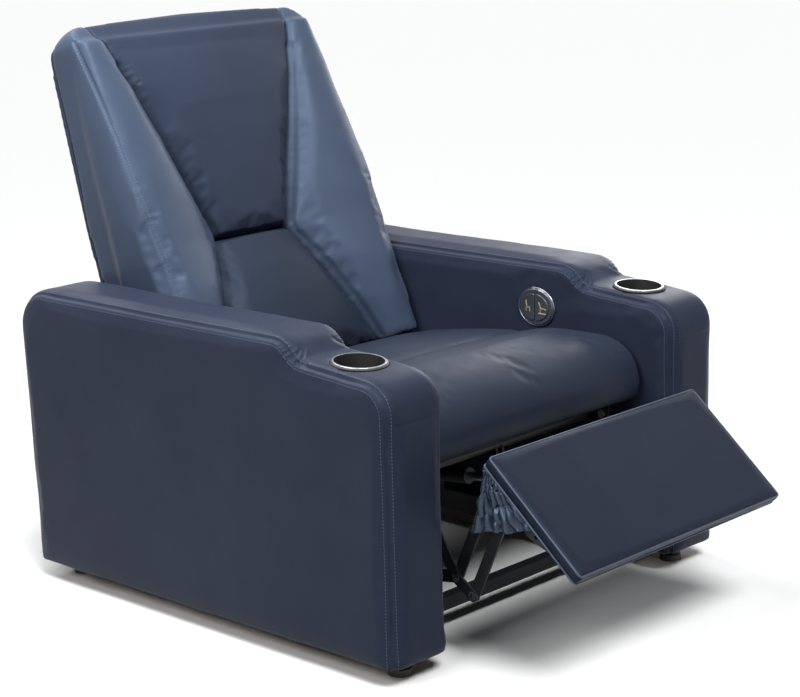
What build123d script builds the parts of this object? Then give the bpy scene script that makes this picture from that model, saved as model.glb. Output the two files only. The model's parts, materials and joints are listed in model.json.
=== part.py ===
from build123d import *
import math
import os

# Cinema recliner seat with a powered footrest.
# Millimetres. The seat faces -Y, +Z is up, and the origin is on the floor, in the
# middle of the four floor-fixing holes. Left is -X and right is +X.

# ---------------------------------------------------------------- driving sizes
WIDTH = 952                 # over both arms
ARM_WIDTH = 152
ARM_FRONT = -486            # front face of the arms
ARM_REAR_FOOT = 486         # rear edge of the arms at the bottom
ARM_REAR_TOP = 506          # and where the rear edge would meet the top
ARM_BOTTOM = 32
ARM_TOP = 586               # seam line of the armrest
PLATFORM_FRONT_Z = 533      # seam line of the cup platform at the front
PLATFORM_REAR_Z = 549
STEP_FOOT = -272            # where the platform turns up to the armrest
STEP_HEAD = -236
ARM_FRONT_RADIUS = 52
ARM_STEP_RADIUS = 54
ARM_REAR_RADIUS = 72
ARM_CROWN = 10              # padding above the seam line
BAND_DEPTH = 14             # band padding below the seam line
PANEL = 12                  # padded side panels of the arms
BOARD = 20                  # timber of the arm boxes
BOARD_CLEAR = 0.5

CUP_Y = -362
CUP_BORE = 90
CUP_DEPTH = 68
CUP_WALL = 2
CUP_LIP = 5                 # flange outside the wall of the cup
CUP_FLANGE_T = 2.5
CUP_RIM = 2                 # bright ring round the mouth
CUP_CLEAR = 1

CONTROL_Y = -162
CONTROL_Z = 500
CONTROL_W = 94              # oval bezel
CONTROL_H = 80
CONTROL_PROUD = 7
CONTROL_LIP = 2.5           # straight edge of the bezel on the leather
CONTROL_BODY_INSET = 7      # body behind the bezel, all round
CONTROL_NECK_W = 34         # switch box behind the panel
CONTROL_NECK_H = 48
CONTROL_NECK = 22
BUTTON_INSET = 12           # from the edge of the bezel to the buttons
BUTTON_SPLIT = 3            # bar between the two halves of the oval pad
BUTTON_CORNER = 4
BUTTON_PROUD = 2.5
BUTTON_TRAVEL = 2
BUTTON_CLEAR = 0.4
BUTTON_EDGE = 1.2

RAIL = 30                   # square base rails
RAIL_LENGTH = 820
TUBE_WALL = 2
CROSS_TUBE = 25
CROSS_FRONT_Y = -340
CROSS_REAR_Y = 330
FIXING_Y = 600              # floor-fixing holes, centre to centre
FIXING_HOLE = 11
FLOOR_POST = 14             # width of the post between the flat foot and the rail
FLOOR_PLATE_X = 56
FLOOR_PLATE_Y = 80
FLOOR_PLATE_T = 5
GLIDE = 44
GLIDE_T = 14
GLIDE_STEM = 12
GLIDE_INSET = 46            # from the ends of the arms
INLET_W = 46
INLET_H = 22
INLET_D = 30
SOCKET_W = 26
SOCKET_H = 14
SOCKET_D = 16
REAR_SKIRT_LOW = 84         # clear of the floor for the lead
REAR_SKIRT_TOP = 300
REAR_SKIRT_T = 10
REAR_SKIRT_INSET = 34

PLATE = 4                   # steel plates and links
PLATE_GAP = 1.5             # washer space between two plates
LINK_R = 11                 # half the width of a link
PIN_R = 5
PIN_HEAD_R = 8
PIN_HEAD_T = 2.4
PIN_TAIL_T = 1.0
RUN_CLEAR = 0.08            # radial clearance of a running pivot

SEAT_GAP = 9                # between the cushions and each arm
SEAT_REAR_Y = 163
SEAT_TUCK_Y = -182              # seam between the seat and its front roll
SEAT_TOP_TUCK = 455
SEAT_TOP_MIDDLE = 432
SEAT_TOP_REAR = 404
SEAT_HEEL = 384
SEAT_CROWN = 8
SEAT_SLOPE = 0.148              # rise of the seat deck to the front
DECK_REAR = (167, 262)          # underside of the seat frame at the rear
FRAME_H = 30
FRAME_FRONT_Y = -400
FRAME_REAR_Y = 160
FRAME_RAIL = 30
FRAME_OUT = 2                   # side rails stand this far outside the cushions
STRAP_W = 50
STRAP_T = 3
STRAP_END = 8
STRAPS = 6
CUSHION_CLEAR = 0.5
ROLL_TOP_Y = -319
ROLL_TOP = 474
ROLL_NOSE_Y = -433
ROLL_CHIN = (-425, 352)
RECLINE_BOSS = 16
SIDE_PLATE_LOW = 8              # side plate below the seat frame
SIDE_PLATE_HIGH = 24            # and up its side
LIGHTENING = 9                  # radius of the holes along the side plates

# linkage of the footrest as (y, z) at the stored pose, footrest half raised
PIVOT_REAR = (-320.5, 311)      # rear link on the seat plate
PIVOT_FRONT = (-364.5, 318)     # front link on the seat plate
KNEE = (-464.5, 149.5)          # front link to upper link
KNEE_LOW = (-503, 123.5)        # front link to lower link
CARRY_UPPER = (-549, 335)       # upper link to footrest bracket
KNEE_REAR = (PIVOT_REAR[0] + KNEE[0] - PIVOT_FRONT[0], PIVOT_REAR[1] + KNEE[1] - PIVOT_FRONT[1])
CARRY_LOWER = (CARRY_UPPER[0] + KNEE_LOW[0] - KNEE[0], CARRY_UPPER[1] + KNEE_LOW[1] - KNEE[1])

FOOT_EDGE = (-566, 397)         # rear top edge of the footrest pad
FOOT_ANGLE = 41.2               # pad slopes down this far below level
FOOT_GAP = 24                   # between the footrest and each arm
FOOT_LENGTH = 268
FOOT_PAD = 17
FOOT_BOARD = 9
FOOT_BOARD_INSET = 3
FOOT_CORNER = 7
BRACKET_START = 15
BRACKET_END = 205
BRACKET_TAPER = 60
BRACKET_FLANGE = 20
BRACKET_FLANGE_T = 3
GUSSET_PLEATS = 6
GUSSET_INSET = 9                # inside the side edge of the footrest
GUSSET_DEPTH = 9
GUSSET_T = 2.4
GUSSET_SEWN = 0.3               # between its sewn edge and the board
GUSSET_TOP_REACH = 46           # along the board
GUSSET_HEM_LOW = (62, 122)      # lowest point of the hem, (along, under the board)
GUSSET_HEM_REACH = 150

TORQUE_TUBE_R = 12.5            # torque tube round the rear pivot axis
TORQUE_TUBE_WALL = 2
CRANK_R = 70                    # throw of the drive pin below the torque tube
CRANK_T = 6                     # each cheek of the crank
DRIVE_SLOPE = 5                 # the drive rises to the front by this angle
FOOT_LOW = -48.8                # travel of the footrest linkage, degrees
FOOT_HIGH = 37.0
DRIVE_PIN_R = 6
DRIVE_SLIP = 2.0
EYE_T = 10
EYE_WALL = 8
CHEEK_GAP = 1                   # between the eye and the cheeks of the crank
ROD_R = 8
ROD_SHOWN = 78                  # rod between the eye and the drive tube
ROD_HELD = 95                   # rod inside the drive tube
DRIVE_TUBE_R = 16
DRIVE_TUBE_LENGTH = 230
GEARBOX = 58
MOTOR_R = 27
MOTOR_LENGTH = 110

# swing links under the seat, as (y, z) at the upright pose
SWING_FRONT = (-214, 258)       # on the seat plate
SWING_REAR = (130, 236)
SWING_LEAN = 18                 # degrees behind the vertical when upright
SWING_LENGTH = 128
RECLINE_PIVOT = (214, 352)

# backrest, measured in its own leaning plane: up = along the rear face, out = in
# front of it. Its foot is on the rear face at this (y, z).
BACK_FOOT = (375, 330)
BACK_LEAN = 15
BACK_HEIGHT = 775
BACK_ARCH = 12                  # the top edge rises to the middle
BACK_CORNER = 46
BACK_WAIST = 22                 # narrower between the arms
BACK_COVER = 12
BACK_POST = 40                  # depth of the timber posts
BACK_POST_W = 34
BACK_RAIL = 50
BACK_FOOT_RAIL = 95             # middle of the lowest rail, up the back
BACK_BRACKET_TOP = 240
SIDE_COVER = 8
GROOVE = 3                      # between neighbouring cushions of the back
CROWN_H = 40                    # padded crown over the top of the back
CROWN_DEPTH = 92
CROWN_ROUND = 24
BACK_START = 20                 # cushions of the back start this far up
BACK_LOW_Z = 414                # level underside over the seat
BACK_TAIL_Z = 386               # and behind it
V_POINT = 299                   # where the V meets the lumbar pad
V_POINT_HALF = 102
V_TOP_HALF = 256
V_OUT = 132                     # front of the V panel at its edges
V_TOP_OUT = 98
LUMBAR_HALF = 222
LUMBAR_TOP_OUT = 128
LUMBAR_LOW_OUT = 206
WING_LOW_OUT = 243              # outer front edge of the wings, at the seat
WING_TOP_OUT = 88               # and under the crown
WING_BOW = 24                   # bow of that edge between the two
WING_SWELL = 14
HEAD_SWELL = 8
LUMBAR_SWELL = 22

OUT = "parts"


# places that follow from the sizes above
ARM_X = WIDTH / 2 - ARM_WIDTH           # inner face of the right-hand arm
ARM_MIDDLE = WIDTH / 2 - ARM_WIDTH / 2
RAIL_X = ARM_X - RAIL
FIXING_X = 2 * (RAIL_X + FLOOR_POST) - FLOOR_PLATE_X
SEAT_HALF = ARM_X - SEAT_GAP
SIDE_RAIL_OUT = SEAT_HALF + FRAME_OUT
FOOT_WIDTH = 2 * (ARM_X - FOOT_GAP)
FOOT_BACK = FOOT_PAD + FOOT_BOARD       # underside of the footrest board
GUSSET_X = FOOT_WIDTH / 2 - GUSSET_INSET
PAD_BACK = BACK_COVER + BACK_POST
CROWN_LOW = BACK_HEIGHT - CROWN_H
BACK_REACH = WING_LOW_OUT + 2 * WING_SWELL

# plate layers on the right-hand side, from the base plate inwards
BASE_PLATE_X = RAIL_X - PLATE
SWING_X = BASE_PLATE_X - PLATE_GAP - PLATE
SEAT_PLATE_X = SWING_X - PLATE_GAP - PLATE
OUTER_LINK_X = SEAT_PLATE_X - PLATE_GAP - PLATE
INNER_LINK_X = OUTER_LINK_X - PLATE_GAP - PLATE


# ------------------------------------------------------------------ small helps
def side_plane(x):
    """Sketches as (y, z) at this x, with the extrusion running to +X."""
    return Plane(origin=(x, 0, 0), x_dir=(0, 1, 0), z_dir=(1, 0, 0))


def mirrored(shape):
    return mirror(shape, about=Plane.YZ)


def pair(shape):
    """A right-hand piece with its left-hand twin."""
    return Compound(children=[shape, mirrored(shape)])


def group(shapes):
    flat = []
    for shape in shapes:
        flat.extend(shape.solids())
    return Compound(children=flat)


def save(shape, name):
    export_step(shape, f"{OUT}/{name}.step")


def box_between(low, high):
    size = [high[i] - low[i] for i in range(3)]
    middle = [(high[i] + low[i]) / 2 for i in range(3)]
    return Pos(*middle) * Box(*size)


def bar_sketch(points, radius):
    """A flat link: round ends at each point, joined by straight bars."""
    shape = Sketch()
    for y, z in points:
        shape += Pos(y, z) * Circle(radius)
    for (y0, z0), (y1, z1) in zip(points, points[1:]):
        length = math.hypot(y1 - y0, z1 - z0)
        angle = math.degrees(math.atan2(z1 - z0, y1 - y0))
        shape += Pos((y0 + y1) / 2, (z0 + z1) / 2) * Rot(0, 0, angle) * Rectangle(length, 2 * radius)
    return shape


def holes_sketch(points, radius):
    shape = Sketch()
    for y, z in points:
        shape += Pos(y, z) * Circle(radius)
    return shape


def plate_from(sketch, x, thickness=PLATE):
    """A (y, z) sketch made into a plate from x towards +X."""
    return extrude(side_plane(x) * sketch, thickness, dir=(1, 0, 0))


def x_pin(point, x0, x1, radius):
    """A round bar along X between two x values."""
    return plate_from(Pos(*point) * Circle(radius), x0, x1 - x0)


def swing_foot(top):
    """Lower pivot of a swing link whose top is on the seat plate."""
    lean = math.radians(SWING_LEAN)
    return (top[0] - SWING_LENGTH * math.sin(lean), top[1] - SWING_LENGTH * math.cos(lean))


def rivet(point, x_in, x_out, tail_in=PIN_HEAD_T, tail_out=PIN_TAIL_T):
    """A riveted pin through the plates between x_in and x_out."""
    pin = x_pin(point, x_in, x_out, PIN_R)
    if tail_in:
        pin += x_pin(point, x_in - tail_in, x_in, PIN_HEAD_R)
    if tail_out:
        pin += x_pin(point, x_out, x_out + tail_out, PIN_HEAD_R)
    return pin


# ------------------------------------------------------------------------- arms
def arm_outline():
    """Seam line of the arm seen from the side, as (y, z)."""
    points = [
        (ARM_FRONT, ARM_BOTTOM),
        (ARM_FRONT, PLATFORM_FRONT_Z),
        (STEP_FOOT, PLATFORM_REAR_Z),
        (STEP_HEAD, ARM_TOP),
        (ARM_REAR_TOP, ARM_TOP),
        (ARM_REAR_FOOT, ARM_BOTTOM),
    ]
    radii = [0, ARM_FRONT_RADIUS, ARM_STEP_RADIUS, ARM_STEP_RADIUS, ARM_REAR_RADIUS, 0]
    return make_face(FilletPolyline(*points, radius=radii, close=True))


def below_arm():
    return Pos(0, ARM_BOTTOM - ARM_TOP) * Rectangle(3 * ARM_REAR_TOP, 2 * ARM_TOP)


def platform_slope():
    return math.degrees(math.atan2(PLATFORM_REAR_Z - PLATFORM_FRONT_Z, STEP_FOOT - ARM_FRONT))


def platform_top():
    """Height of the padded platform at the cup."""
    rise = math.tan(math.radians(platform_slope())) * (CUP_Y - ARM_FRONT)
    crown = ARM_CROWN / math.cos(math.radians(platform_slope()))
    return PLATFORM_FRONT_Z + rise + crown


def cup_place():
    """The cup's own frame: origin on the platform, +Z out of the mouth."""
    return Pos(ARM_MIDDLE, CUP_Y, platform_top()) * Rot(platform_slope(), 0, 0)


def cup_hole():
    return cup_place() * Cylinder(CUP_BORE / 2 + CUP_WALL + CUP_CLEAR, 4 * CUP_DEPTH)


def arm_band():
    outer = offset(arm_outline(), ARM_CROWN, kind=Kind.INTERSECTION) - below_arm()
    inner = offset(arm_outline(), -BAND_DEPTH, kind=Kind.INTERSECTION)
    inner += Pos(0, ARM_BOTTOM) * Rectangle(2 * (ARM_REAR_FOOT - BAND_DEPTH), 3 * BAND_DEPTH)
    x = ARM_X + PANEL
    width = ARM_WIDTH - 2 * PANEL
    block = plate_from(outer, x, width)
    rims = []
    for edge in block.edges():
        middle = edge @ 0.5
        on_side = min(abs(middle.X - x), abs(middle.X - x - width)) < 0.01
        if on_side and middle.Z > ARM_BOTTOM + 1:
            rims.append(edge)
    block = fillet(rims, ARM_CROWN - 1)
    return block - plate_from(inner, x, width) - cup_hole()


def arm_panel(x, outer_side):
    panel = plate_from(arm_outline(), x, PANEL)
    face_x = x + PANEL if outer_side else x
    rims = []
    for edge in panel.edges():
        middle = edge @ 0.5
        if abs(middle.X - face_x) < 0.01 and middle.Z > ARM_BOTTOM + 1:
            rims.append(edge)
    return fillet(rims, PANEL / 2)


def arm_boards():
    """Timber box inside the padding, board by board."""
    x0 = ARM_X + PANEL
    x1 = WIDTH / 2 - PANEL
    front = ARM_FRONT + BAND_DEPTH
    rear = ARM_REAR_FOOT - BAND_DEPTH - BOARD_CLEAR
    floor = ARM_BOTTOM
    cup_board_top = PLATFORM_FRONT_Z - BAND_DEPTH
    corner = PLATFORM_FRONT_Z - ARM_FRONT_RADIUS
    top = ARM_TOP - BAND_DEPTH
    mid_y = STEP_HEAD + ARM_STEP_RADIUS / 2
    cup_board = box_between((x0, ARM_FRONT + ARM_FRONT_RADIUS, cup_board_top - BOARD),
                            (x1, mid_y, cup_board_top))
    cup_board -= cup_hole()
    boards = [
        cup_board,
        box_between((x0, front, floor), (x1, front + BOARD, corner)),
        box_between((x0, front + BOARD, corner - BOARD), (x1, ARM_FRONT + ARM_FRONT_RADIUS + BOARD,
                                                          cup_board_top - BOARD)),
        box_between((x0, rear - BOARD, floor), (x1, rear, top - ARM_REAR_RADIUS)),
        box_between((x0, front + BOARD, floor), (x1, rear - BOARD, floor + BOARD)),
        box_between((x0, mid_y, floor + BOARD), (x1, mid_y + BOARD, top - BOARD)),
        box_between((x0, mid_y, top - BOARD), (x1, rear - ARM_REAR_RADIUS, top)),
    ]
    return group(boards)


def cup_holder():
    cup = Pos(0, 0, -CUP_DEPTH / 2) * Cylinder(CUP_BORE / 2 + CUP_WALL, CUP_DEPTH)
    flange = Pos(0, 0, CUP_FLANGE_T / 2) * Cylinder(CUP_BORE / 2 + CUP_WALL + CUP_LIP, CUP_FLANGE_T)
    cup += fillet(flange.edges().sort_by(Axis.Z)[-1], CUP_FLANGE_T * 0.8)
    bore_height = CUP_DEPTH - CUP_WALL + CUP_FLANGE_T
    cup -= Pos(0, 0, CUP_FLANGE_T - bore_height / 2) * Cylinder(CUP_BORE / 2, bore_height)
    return cup_place() * cup


def cup_rim():
    ring = Cylinder(CUP_BORE / 2 + CUP_WALL + CUP_RIM, CUP_RIM)
    ring = fillet(ring.edges().sort_by(Axis.Z)[-1], CUP_RIM * 0.6)
    ring -= Cylinder(CUP_BORE / 2, 2 * CUP_RIM)
    return cup_place() * Pos(0, 0, CUP_FLANGE_T + CUP_RIM / 2) * ring


# ---------------------------------------------------------------------- control
def control_face_x():
    return ARM_X - CONTROL_PROUD


def control_oval(inset):
    return Pos(CONTROL_Y, CONTROL_Z) * Ellipse(CONTROL_W / 2 - inset, CONTROL_H / 2 - inset)


def button_sketch(side, grow=0):
    """Half of the oval pad, with soft corners."""
    edge = CONTROL_Y + side * (BUTTON_SPLIT / 2 - grow)
    half = control_oval(BUTTON_INSET - grow)
    half &= Pos(edge + side * CONTROL_W / 2, CONTROL_Z) * Rectangle(CONTROL_W, CONTROL_H)
    return fillet(half.vertices(), BUTTON_CORNER)


def button_height():
    return CONTROL_PROUD + BUTTON_PROUD


def control_housing():
    x = control_face_x()
    bezel = plate_from(control_oval(0), x, CONTROL_PROUD)
    bezel = chamfer(bezel.edges().sort_by(Axis.X)[0], CONTROL_PROUD - CONTROL_LIP)
    body = plate_from(control_oval(CONTROL_BODY_INSET), ARM_X, PANEL)
    neck_sketch = Pos(CONTROL_Y, CONTROL_Z) * RectangleRounded(CONTROL_NECK_W, CONTROL_NECK_H, BUTTON_CORNER)
    neck = plate_from(neck_sketch, ARM_X, PANEL + CONTROL_NECK)
    housing = bezel + body + neck
    for side in (-1, 1):
        depth = button_height() + BUTTON_TRAVEL
        housing -= plate_from(button_sketch(side, BUTTON_CLEAR), x, depth)
    return housing


def control_button(side):
    x = control_face_x() - BUTTON_PROUD
    button = plate_from(button_sketch(side), x, button_height() + BUTTON_PROUD)
    rim = button.edges().filter_by(lambda e: abs((e @ 0.5).X - x) < 0.01)
    return fillet(rim, BUTTON_EDGE)


# ------------------------------------------------------------------------- base
def base_rail():
    x = RAIL_X
    rail = box_between((x, -RAIL_LENGTH / 2, ARM_BOTTOM), (x + RAIL, RAIL_LENGTH / 2, ARM_BOTTOM + RAIL))
    inside = RAIL - 2 * TUBE_WALL
    rail -= Pos(x + RAIL / 2, 0, ARM_BOTTOM + RAIL / 2) * Box(inside, RAIL_LENGTH + 2, inside)
    return rail


def cross_tube(y):
    length = 2 * RAIL_X
    inside = CROSS_TUBE - 2 * TUBE_WALL
    tube = Box(length, CROSS_TUBE, CROSS_TUBE) - Box(length + 2, inside, inside)
    return Pos(0, y, ARM_BOTTOM + RAIL / 2) * tube


def floor_foot(x_side, y_side):
    """Flat foot with its floor-fixing hole and the post up to the rail."""
    x = x_side * FIXING_X / 2
    y = y_side * FIXING_Y / 2
    foot = Pos(x, y, FLOOR_PLATE_T / 2) * Box(FLOOR_PLATE_X, FLOOR_PLATE_Y, FLOOR_PLATE_T)
    foot -= Pos(x, y, FLOOR_PLATE_T / 2) * Cylinder(FIXING_HOLE / 2, 3 * FLOOR_PLATE_T)
    post_x = x_side * (RAIL_X + FLOOR_POST / 2)
    post_h = ARM_BOTTOM - FLOOR_PLATE_T
    foot += Pos(post_x, y, FLOOR_PLATE_T + post_h / 2) * Box(FLOOR_POST, FLOOR_PLATE_Y * 0.6, post_h)
    return foot


def glides():
    """Round plastic feet under both ends of each arm."""
    pad = Pos(0, 0, GLIDE_T / 2) * Cylinder(GLIDE / 2, GLIDE_T)
    pad = fillet(pad.edges().sort_by(Axis.Z)[-1], GLIDE_T / 3)
    pad += Pos(0, 0, ARM_BOTTOM / 2) * Cylinder(GLIDE_STEM / 2, ARM_BOTTOM)
    feet = []
    for x in (-ARM_MIDDLE, ARM_MIDDLE):
        for y in (ARM_FRONT + GLIDE_INSET, ARM_REAR_FOOT - GLIDE_INSET):
            feet.append(Pos(x, y, 0) * pad)
    return group(feet)


def rear_skirt():
    """Leather-covered board between the arms, low behind the seat."""
    y = ARM_REAR_FOOT - REAR_SKIRT_INSET
    board = box_between((-ARM_X, y - REAR_SKIRT_T, REAR_SKIRT_LOW), (ARM_X, y, REAR_SKIRT_TOP))
    rear_rims = board.edges().filter_by(Axis.X).group_by(Axis.Y)[-1]
    return fillet(rear_rims, REAR_SKIRT_T / 3)


def swing_base_plate():
    low_y = swing_foot(SWING_FRONT)[0] - 2 * LINK_R
    high_y = swing_foot(SWING_REAR)[0] + 2 * LINK_R
    top = ARM_BOTTOM + RAIL
    strip = Pos((low_y + high_y) / 2, top) * Rectangle(high_y - low_y, RAIL)
    for pivot in (swing_foot(SWING_FRONT), swing_foot(SWING_REAR)):
        strip += bar_sketch([pivot, (pivot[0], top)], 1.4 * LINK_R)
        strip -= Pos(*pivot) * Circle(PIN_R)
    return plate_from(strip, BASE_PLATE_X)


def swing_base_pins():
    pins = []
    for top in (SWING_FRONT, SWING_REAR):
        pins.append(rivet(swing_foot(top), SWING_X, BASE_PLATE_X + PLATE))
    right = group(pins)
    return group([right, mirrored(right)])


def swing_links(top):
    sketch = bar_sketch([swing_foot(top), top], LINK_R)
    sketch -= holes_sketch([swing_foot(top), top], PIN_R + RUN_CLEAR)
    return pair(plate_from(sketch, SWING_X))


def power_inlet():
    """Low-voltage socket on the rear cross tube, open to the rear."""
    y = CROSS_REAR_Y + CROSS_TUBE / 2
    x = RAIL_X / 2
    z = ARM_BOTTOM + RAIL / 2
    block = box_between((x - INLET_W / 2, y, z - INLET_H / 2), (x + INLET_W / 2, y + INLET_D, z + INLET_H / 2))
    block -= box_between((x - SOCKET_W / 2, y + INLET_D - SOCKET_D, z - SOCKET_H / 2),
                         (x + SOCKET_W / 2, y + INLET_D + 1, z + SOCKET_H / 2))
    return block


# ------------------------------------------------------------------------- seat
def deck_low(y):
    return DECK_REAR[1] + (DECK_REAR[0] - y) * SEAT_SLOPE


def deck_top(y):
    return deck_low(y) + FRAME_H


def sloped_bar(y0, y1, x0, x1):
    """A timber between two y values that follows the slope of the seat deck."""
    outline = Polygon((y0, deck_low(y0)), (y1, deck_low(y1)), (y1, deck_top(y1)), (y0, deck_top(y0)),
                      align=None)
    return plate_from(outline, x0, x1 - x0)


def seat_frame():
    inner = SEAT_PLATE_X + PLATE
    side = sloped_bar(FRAME_FRONT_Y, FRAME_REAR_Y, inner, SIDE_RAIL_OUT)
    front = sloped_bar(FRAME_FRONT_Y, FRAME_FRONT_Y + FRAME_RAIL, -SEAT_PLATE_X, SEAT_PLATE_X)
    rear = sloped_bar(FRAME_REAR_Y - FRAME_RAIL, FRAME_REAR_Y, -SEAT_PLATE_X, SEAT_PLATE_X)
    return group([side, mirrored(side), front, rear])


def seat_webbing():
    straps = []
    first = FRAME_FRONT_Y + 2 * FRAME_RAIL
    last = FRAME_REAR_Y - 2 * FRAME_RAIL
    for index in range(STRAPS):
        y = first + (last - first) * index / (STRAPS - 1)
        y0 = y - STRAP_W / 2
        y1 = y + STRAP_W / 2
        outline = Polygon((y0, deck_top(y0)), (y1, deck_top(y1)), (y1, deck_top(y1) + STRAP_T),
                          (y0, deck_top(y0) + STRAP_T), align=None)
        reach = SIDE_RAIL_OUT - STRAP_END
        straps.append(plate_from(outline, -reach, 2 * reach))
    return group(straps)


def seat_side_plate():
    front_y = PIVOT_FRONT[0] - LINK_R - PLATE
    rear_y = FRAME_REAR_Y
    low = -SIDE_PLATE_LOW
    high = SIDE_PLATE_HIGH
    sketch = Polygon((front_y, deck_low(front_y) + low), (rear_y, deck_low(rear_y) + low),
                     (rear_y, deck_low(rear_y) + high), (front_y, deck_low(front_y) + high), align=None)
    first = SWING_FRONT[0] + 4 * LIGHTENING
    last = SWING_REAR[0] - 4 * LIGHTENING
    count = int((last - first) / (4 * LIGHTENING))
    for index in range(count + 1):
        y = first + (last - first) * index / count
        sketch -= Pos(y, deck_low(y) + (low + high) / 2) * Circle(LIGHTENING)
    pivots = [PIVOT_REAR, PIVOT_FRONT, SWING_FRONT, SWING_REAR]
    for pivot in pivots:
        sketch += bar_sketch([pivot, (pivot[0], deck_low(pivot[0]))], LINK_R + 1)
    root = (FRAME_REAR_Y - FRAME_RAIL, deck_low(FRAME_REAR_Y) + FRAME_H / 2)
    elbow = (SEAT_REAR_Y + 2 * RECLINE_BOSS, root[1] + RECLINE_BOSS / 4)
    sketch += bar_sketch([root, elbow, RECLINE_PIVOT], RECLINE_BOSS - 2)
    sketch -= holes_sketch(pivots + [RECLINE_PIVOT], PIN_R)
    return plate_from(sketch, SEAT_PLATE_X)


def seat_pivot_pins():
    pins = []
    for pivot in (PIVOT_REAR, PIVOT_FRONT):
        pins.append(rivet(pivot, OUTER_LINK_X, SEAT_PLATE_X + PLATE))
    for pivot in (SWING_FRONT, SWING_REAR, RECLINE_PIVOT):
        pins.append(rivet(pivot, SEAT_PLATE_X, SWING_X + PLATE))
    right = group(pins)
    return group([right, mirrored(right)])


def cushion_bottom(y):
    return deck_top(y) + STRAP_T + CUSHION_CLEAR


def seat_profile(grow):
    rear = SEAT_REAR_Y
    front = SEAT_TUCK_Y
    round_off = SEAT_TOP_REAR - SEAT_HEEL
    top_front = (front, SEAT_TOP_TUCK + grow)
    top_rear = (rear - 0.8 * round_off, SEAT_TOP_REAR + grow)
    heel = (rear, SEAT_HEEL)
    shoulder = (rear - 0.2 * round_off, SEAT_TOP_REAR - 0.35 * round_off + 0.6 * grow)
    lines = [
        ThreePointArc(top_front, ((front + rear) / 2, SEAT_TOP_MIDDLE + grow), top_rear),
        ThreePointArc(top_rear, shoulder, heel),
        Line(heel, (rear, cushion_bottom(rear))),
        Line((rear, cushion_bottom(rear)), (front, cushion_bottom(front))),
        Line((front, cushion_bottom(front)), top_front),
    ]
    return make_face(Curve() + lines)


def bolster_profile(grow):
    """The front roll: down from the seam, round the nose and under the frame."""
    back = SEAT_TUCK_Y - 2 * CUSHION_CLEAR
    reach = ROLL_TOP_Y - ROLL_NOSE_Y
    drop = ROLL_TOP - ROLL_CHIN[1]
    front_of_frame = FRAME_FRONT_Y - 2 * CUSHION_CLEAR
    seam = (back, SEAT_TOP_TUCK + grow)
    swell = ((back + ROLL_TOP_Y) / 2, (SEAT_TOP_TUCK + 2 * ROLL_TOP) / 3 + grow)
    top = (ROLL_TOP_Y, ROLL_TOP + grow)
    crest = (ROLL_TOP_Y - 0.48 * reach, ROLL_TOP - 0.03 * drop + grow)
    brow = (ROLL_TOP_Y - 0.81 * reach - grow / 2, ROLL_TOP - 0.22 * drop + grow / 2)
    nose = (ROLL_NOSE_Y - grow / 2, ROLL_TOP - 0.59 * drop)
    chin = ROLL_CHIN
    tuck = (front_of_frame, ROLL_CHIN[1])
    ledge = (front_of_frame, cushion_bottom(front_of_frame))
    heel = (back, cushion_bottom(back))
    lines = [
        ThreePointArc(seam, swell, top),
        ThreePointArc(top, crest, brow),
        ThreePointArc(brow, nose, chin),
        Line(chin, tuck),
        Line(tuck, ledge),
        Line(ledge, heel),
        Line(heel, seam),
    ]
    return make_face(Curve() + lines)


def crowned(profile, half, crown, draw):
    """A cushion lofted across the seat: full in the middle, drawn in at its sides."""
    sections = []
    for share in (-1, 0, 1):
        grow = crown if share == 0 else -draw
        sections.append(side_plane(share * half) * profile(grow))
    return loft(sections)


# -------------------------------------------------------------- footrest linkage
def layered(points, x, solid_holes, run_holes, radius=LINK_R):
    sketch = bar_sketch(points, radius)
    if solid_holes:
        sketch -= holes_sketch(solid_holes, PIN_R)
    if run_holes:
        sketch -= holes_sketch(run_holes, PIN_R + RUN_CLEAR)
    return plate_from(sketch, x)


def rear_links():
    return pair(layered([PIVOT_REAR, KNEE_REAR], OUTER_LINK_X, [KNEE_REAR], [PIVOT_REAR]))


def front_links():
    points = [PIVOT_FRONT, KNEE, KNEE_LOW]
    return pair(layered(points, OUTER_LINK_X, [KNEE, KNEE_LOW], [PIVOT_FRONT]))


def upper_links():
    points = [KNEE_REAR, KNEE, CARRY_UPPER]
    return pair(layered(points, INNER_LINK_X, [CARRY_UPPER], [KNEE_REAR, KNEE]))


def lower_links():
    return pair(layered([KNEE_LOW, CARRY_LOWER], INNER_LINK_X, [CARRY_LOWER], [KNEE_LOW]))


def link_pins(pivots):
    pins = [rivet(pivot, INNER_LINK_X, OUTER_LINK_X + PLATE) for pivot in pivots]
    right = group(pins)
    return group([right, mirrored(right)])


def foot_plane():
    lean = math.radians(FOOT_ANGLE)
    return Plane(origin=(0, *FOOT_EDGE), x_dir=(1, 0, 0), z_dir=(0, -math.sin(lean), math.cos(lean)))


def foot_point(along, under):
    """(y, z) of a point along the footrest from its rear edge and under its top."""
    lean = math.radians(FOOT_ANGLE)
    y = FOOT_EDGE[0] - along * math.cos(lean) + under * math.sin(lean)
    z = FOOT_EDGE[1] - along * math.sin(lean) - under * math.cos(lean)
    return (y, z)


def foot_box(x0, x1, along0, along1, under0, under1):
    middle = Pos((x0 + x1) / 2, -(along0 + along1) / 2, -(under0 + under1) / 2)
    return foot_plane() * middle * Box(x1 - x0, along1 - along0, under1 - under0)


def footrest_pad():
    pad = Pos(0, -FOOT_LENGTH / 2, -FOOT_PAD / 2) * Box(FOOT_WIDTH, FOOT_LENGTH, FOOT_PAD)
    pad = fillet(pad.edges().filter_by(Axis.Z), FOOT_CORNER)
    pad = fillet(pad.edges().group_by(Axis.Z)[-1], FOOT_CORNER * 0.8)
    return foot_plane() * pad


def footrest_board():
    inset = FOOT_BOARD_INSET
    half = FOOT_WIDTH / 2 - inset
    return foot_box(-half, half, inset, FOOT_LENGTH - inset, FOOT_PAD, FOOT_BACK)


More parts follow.
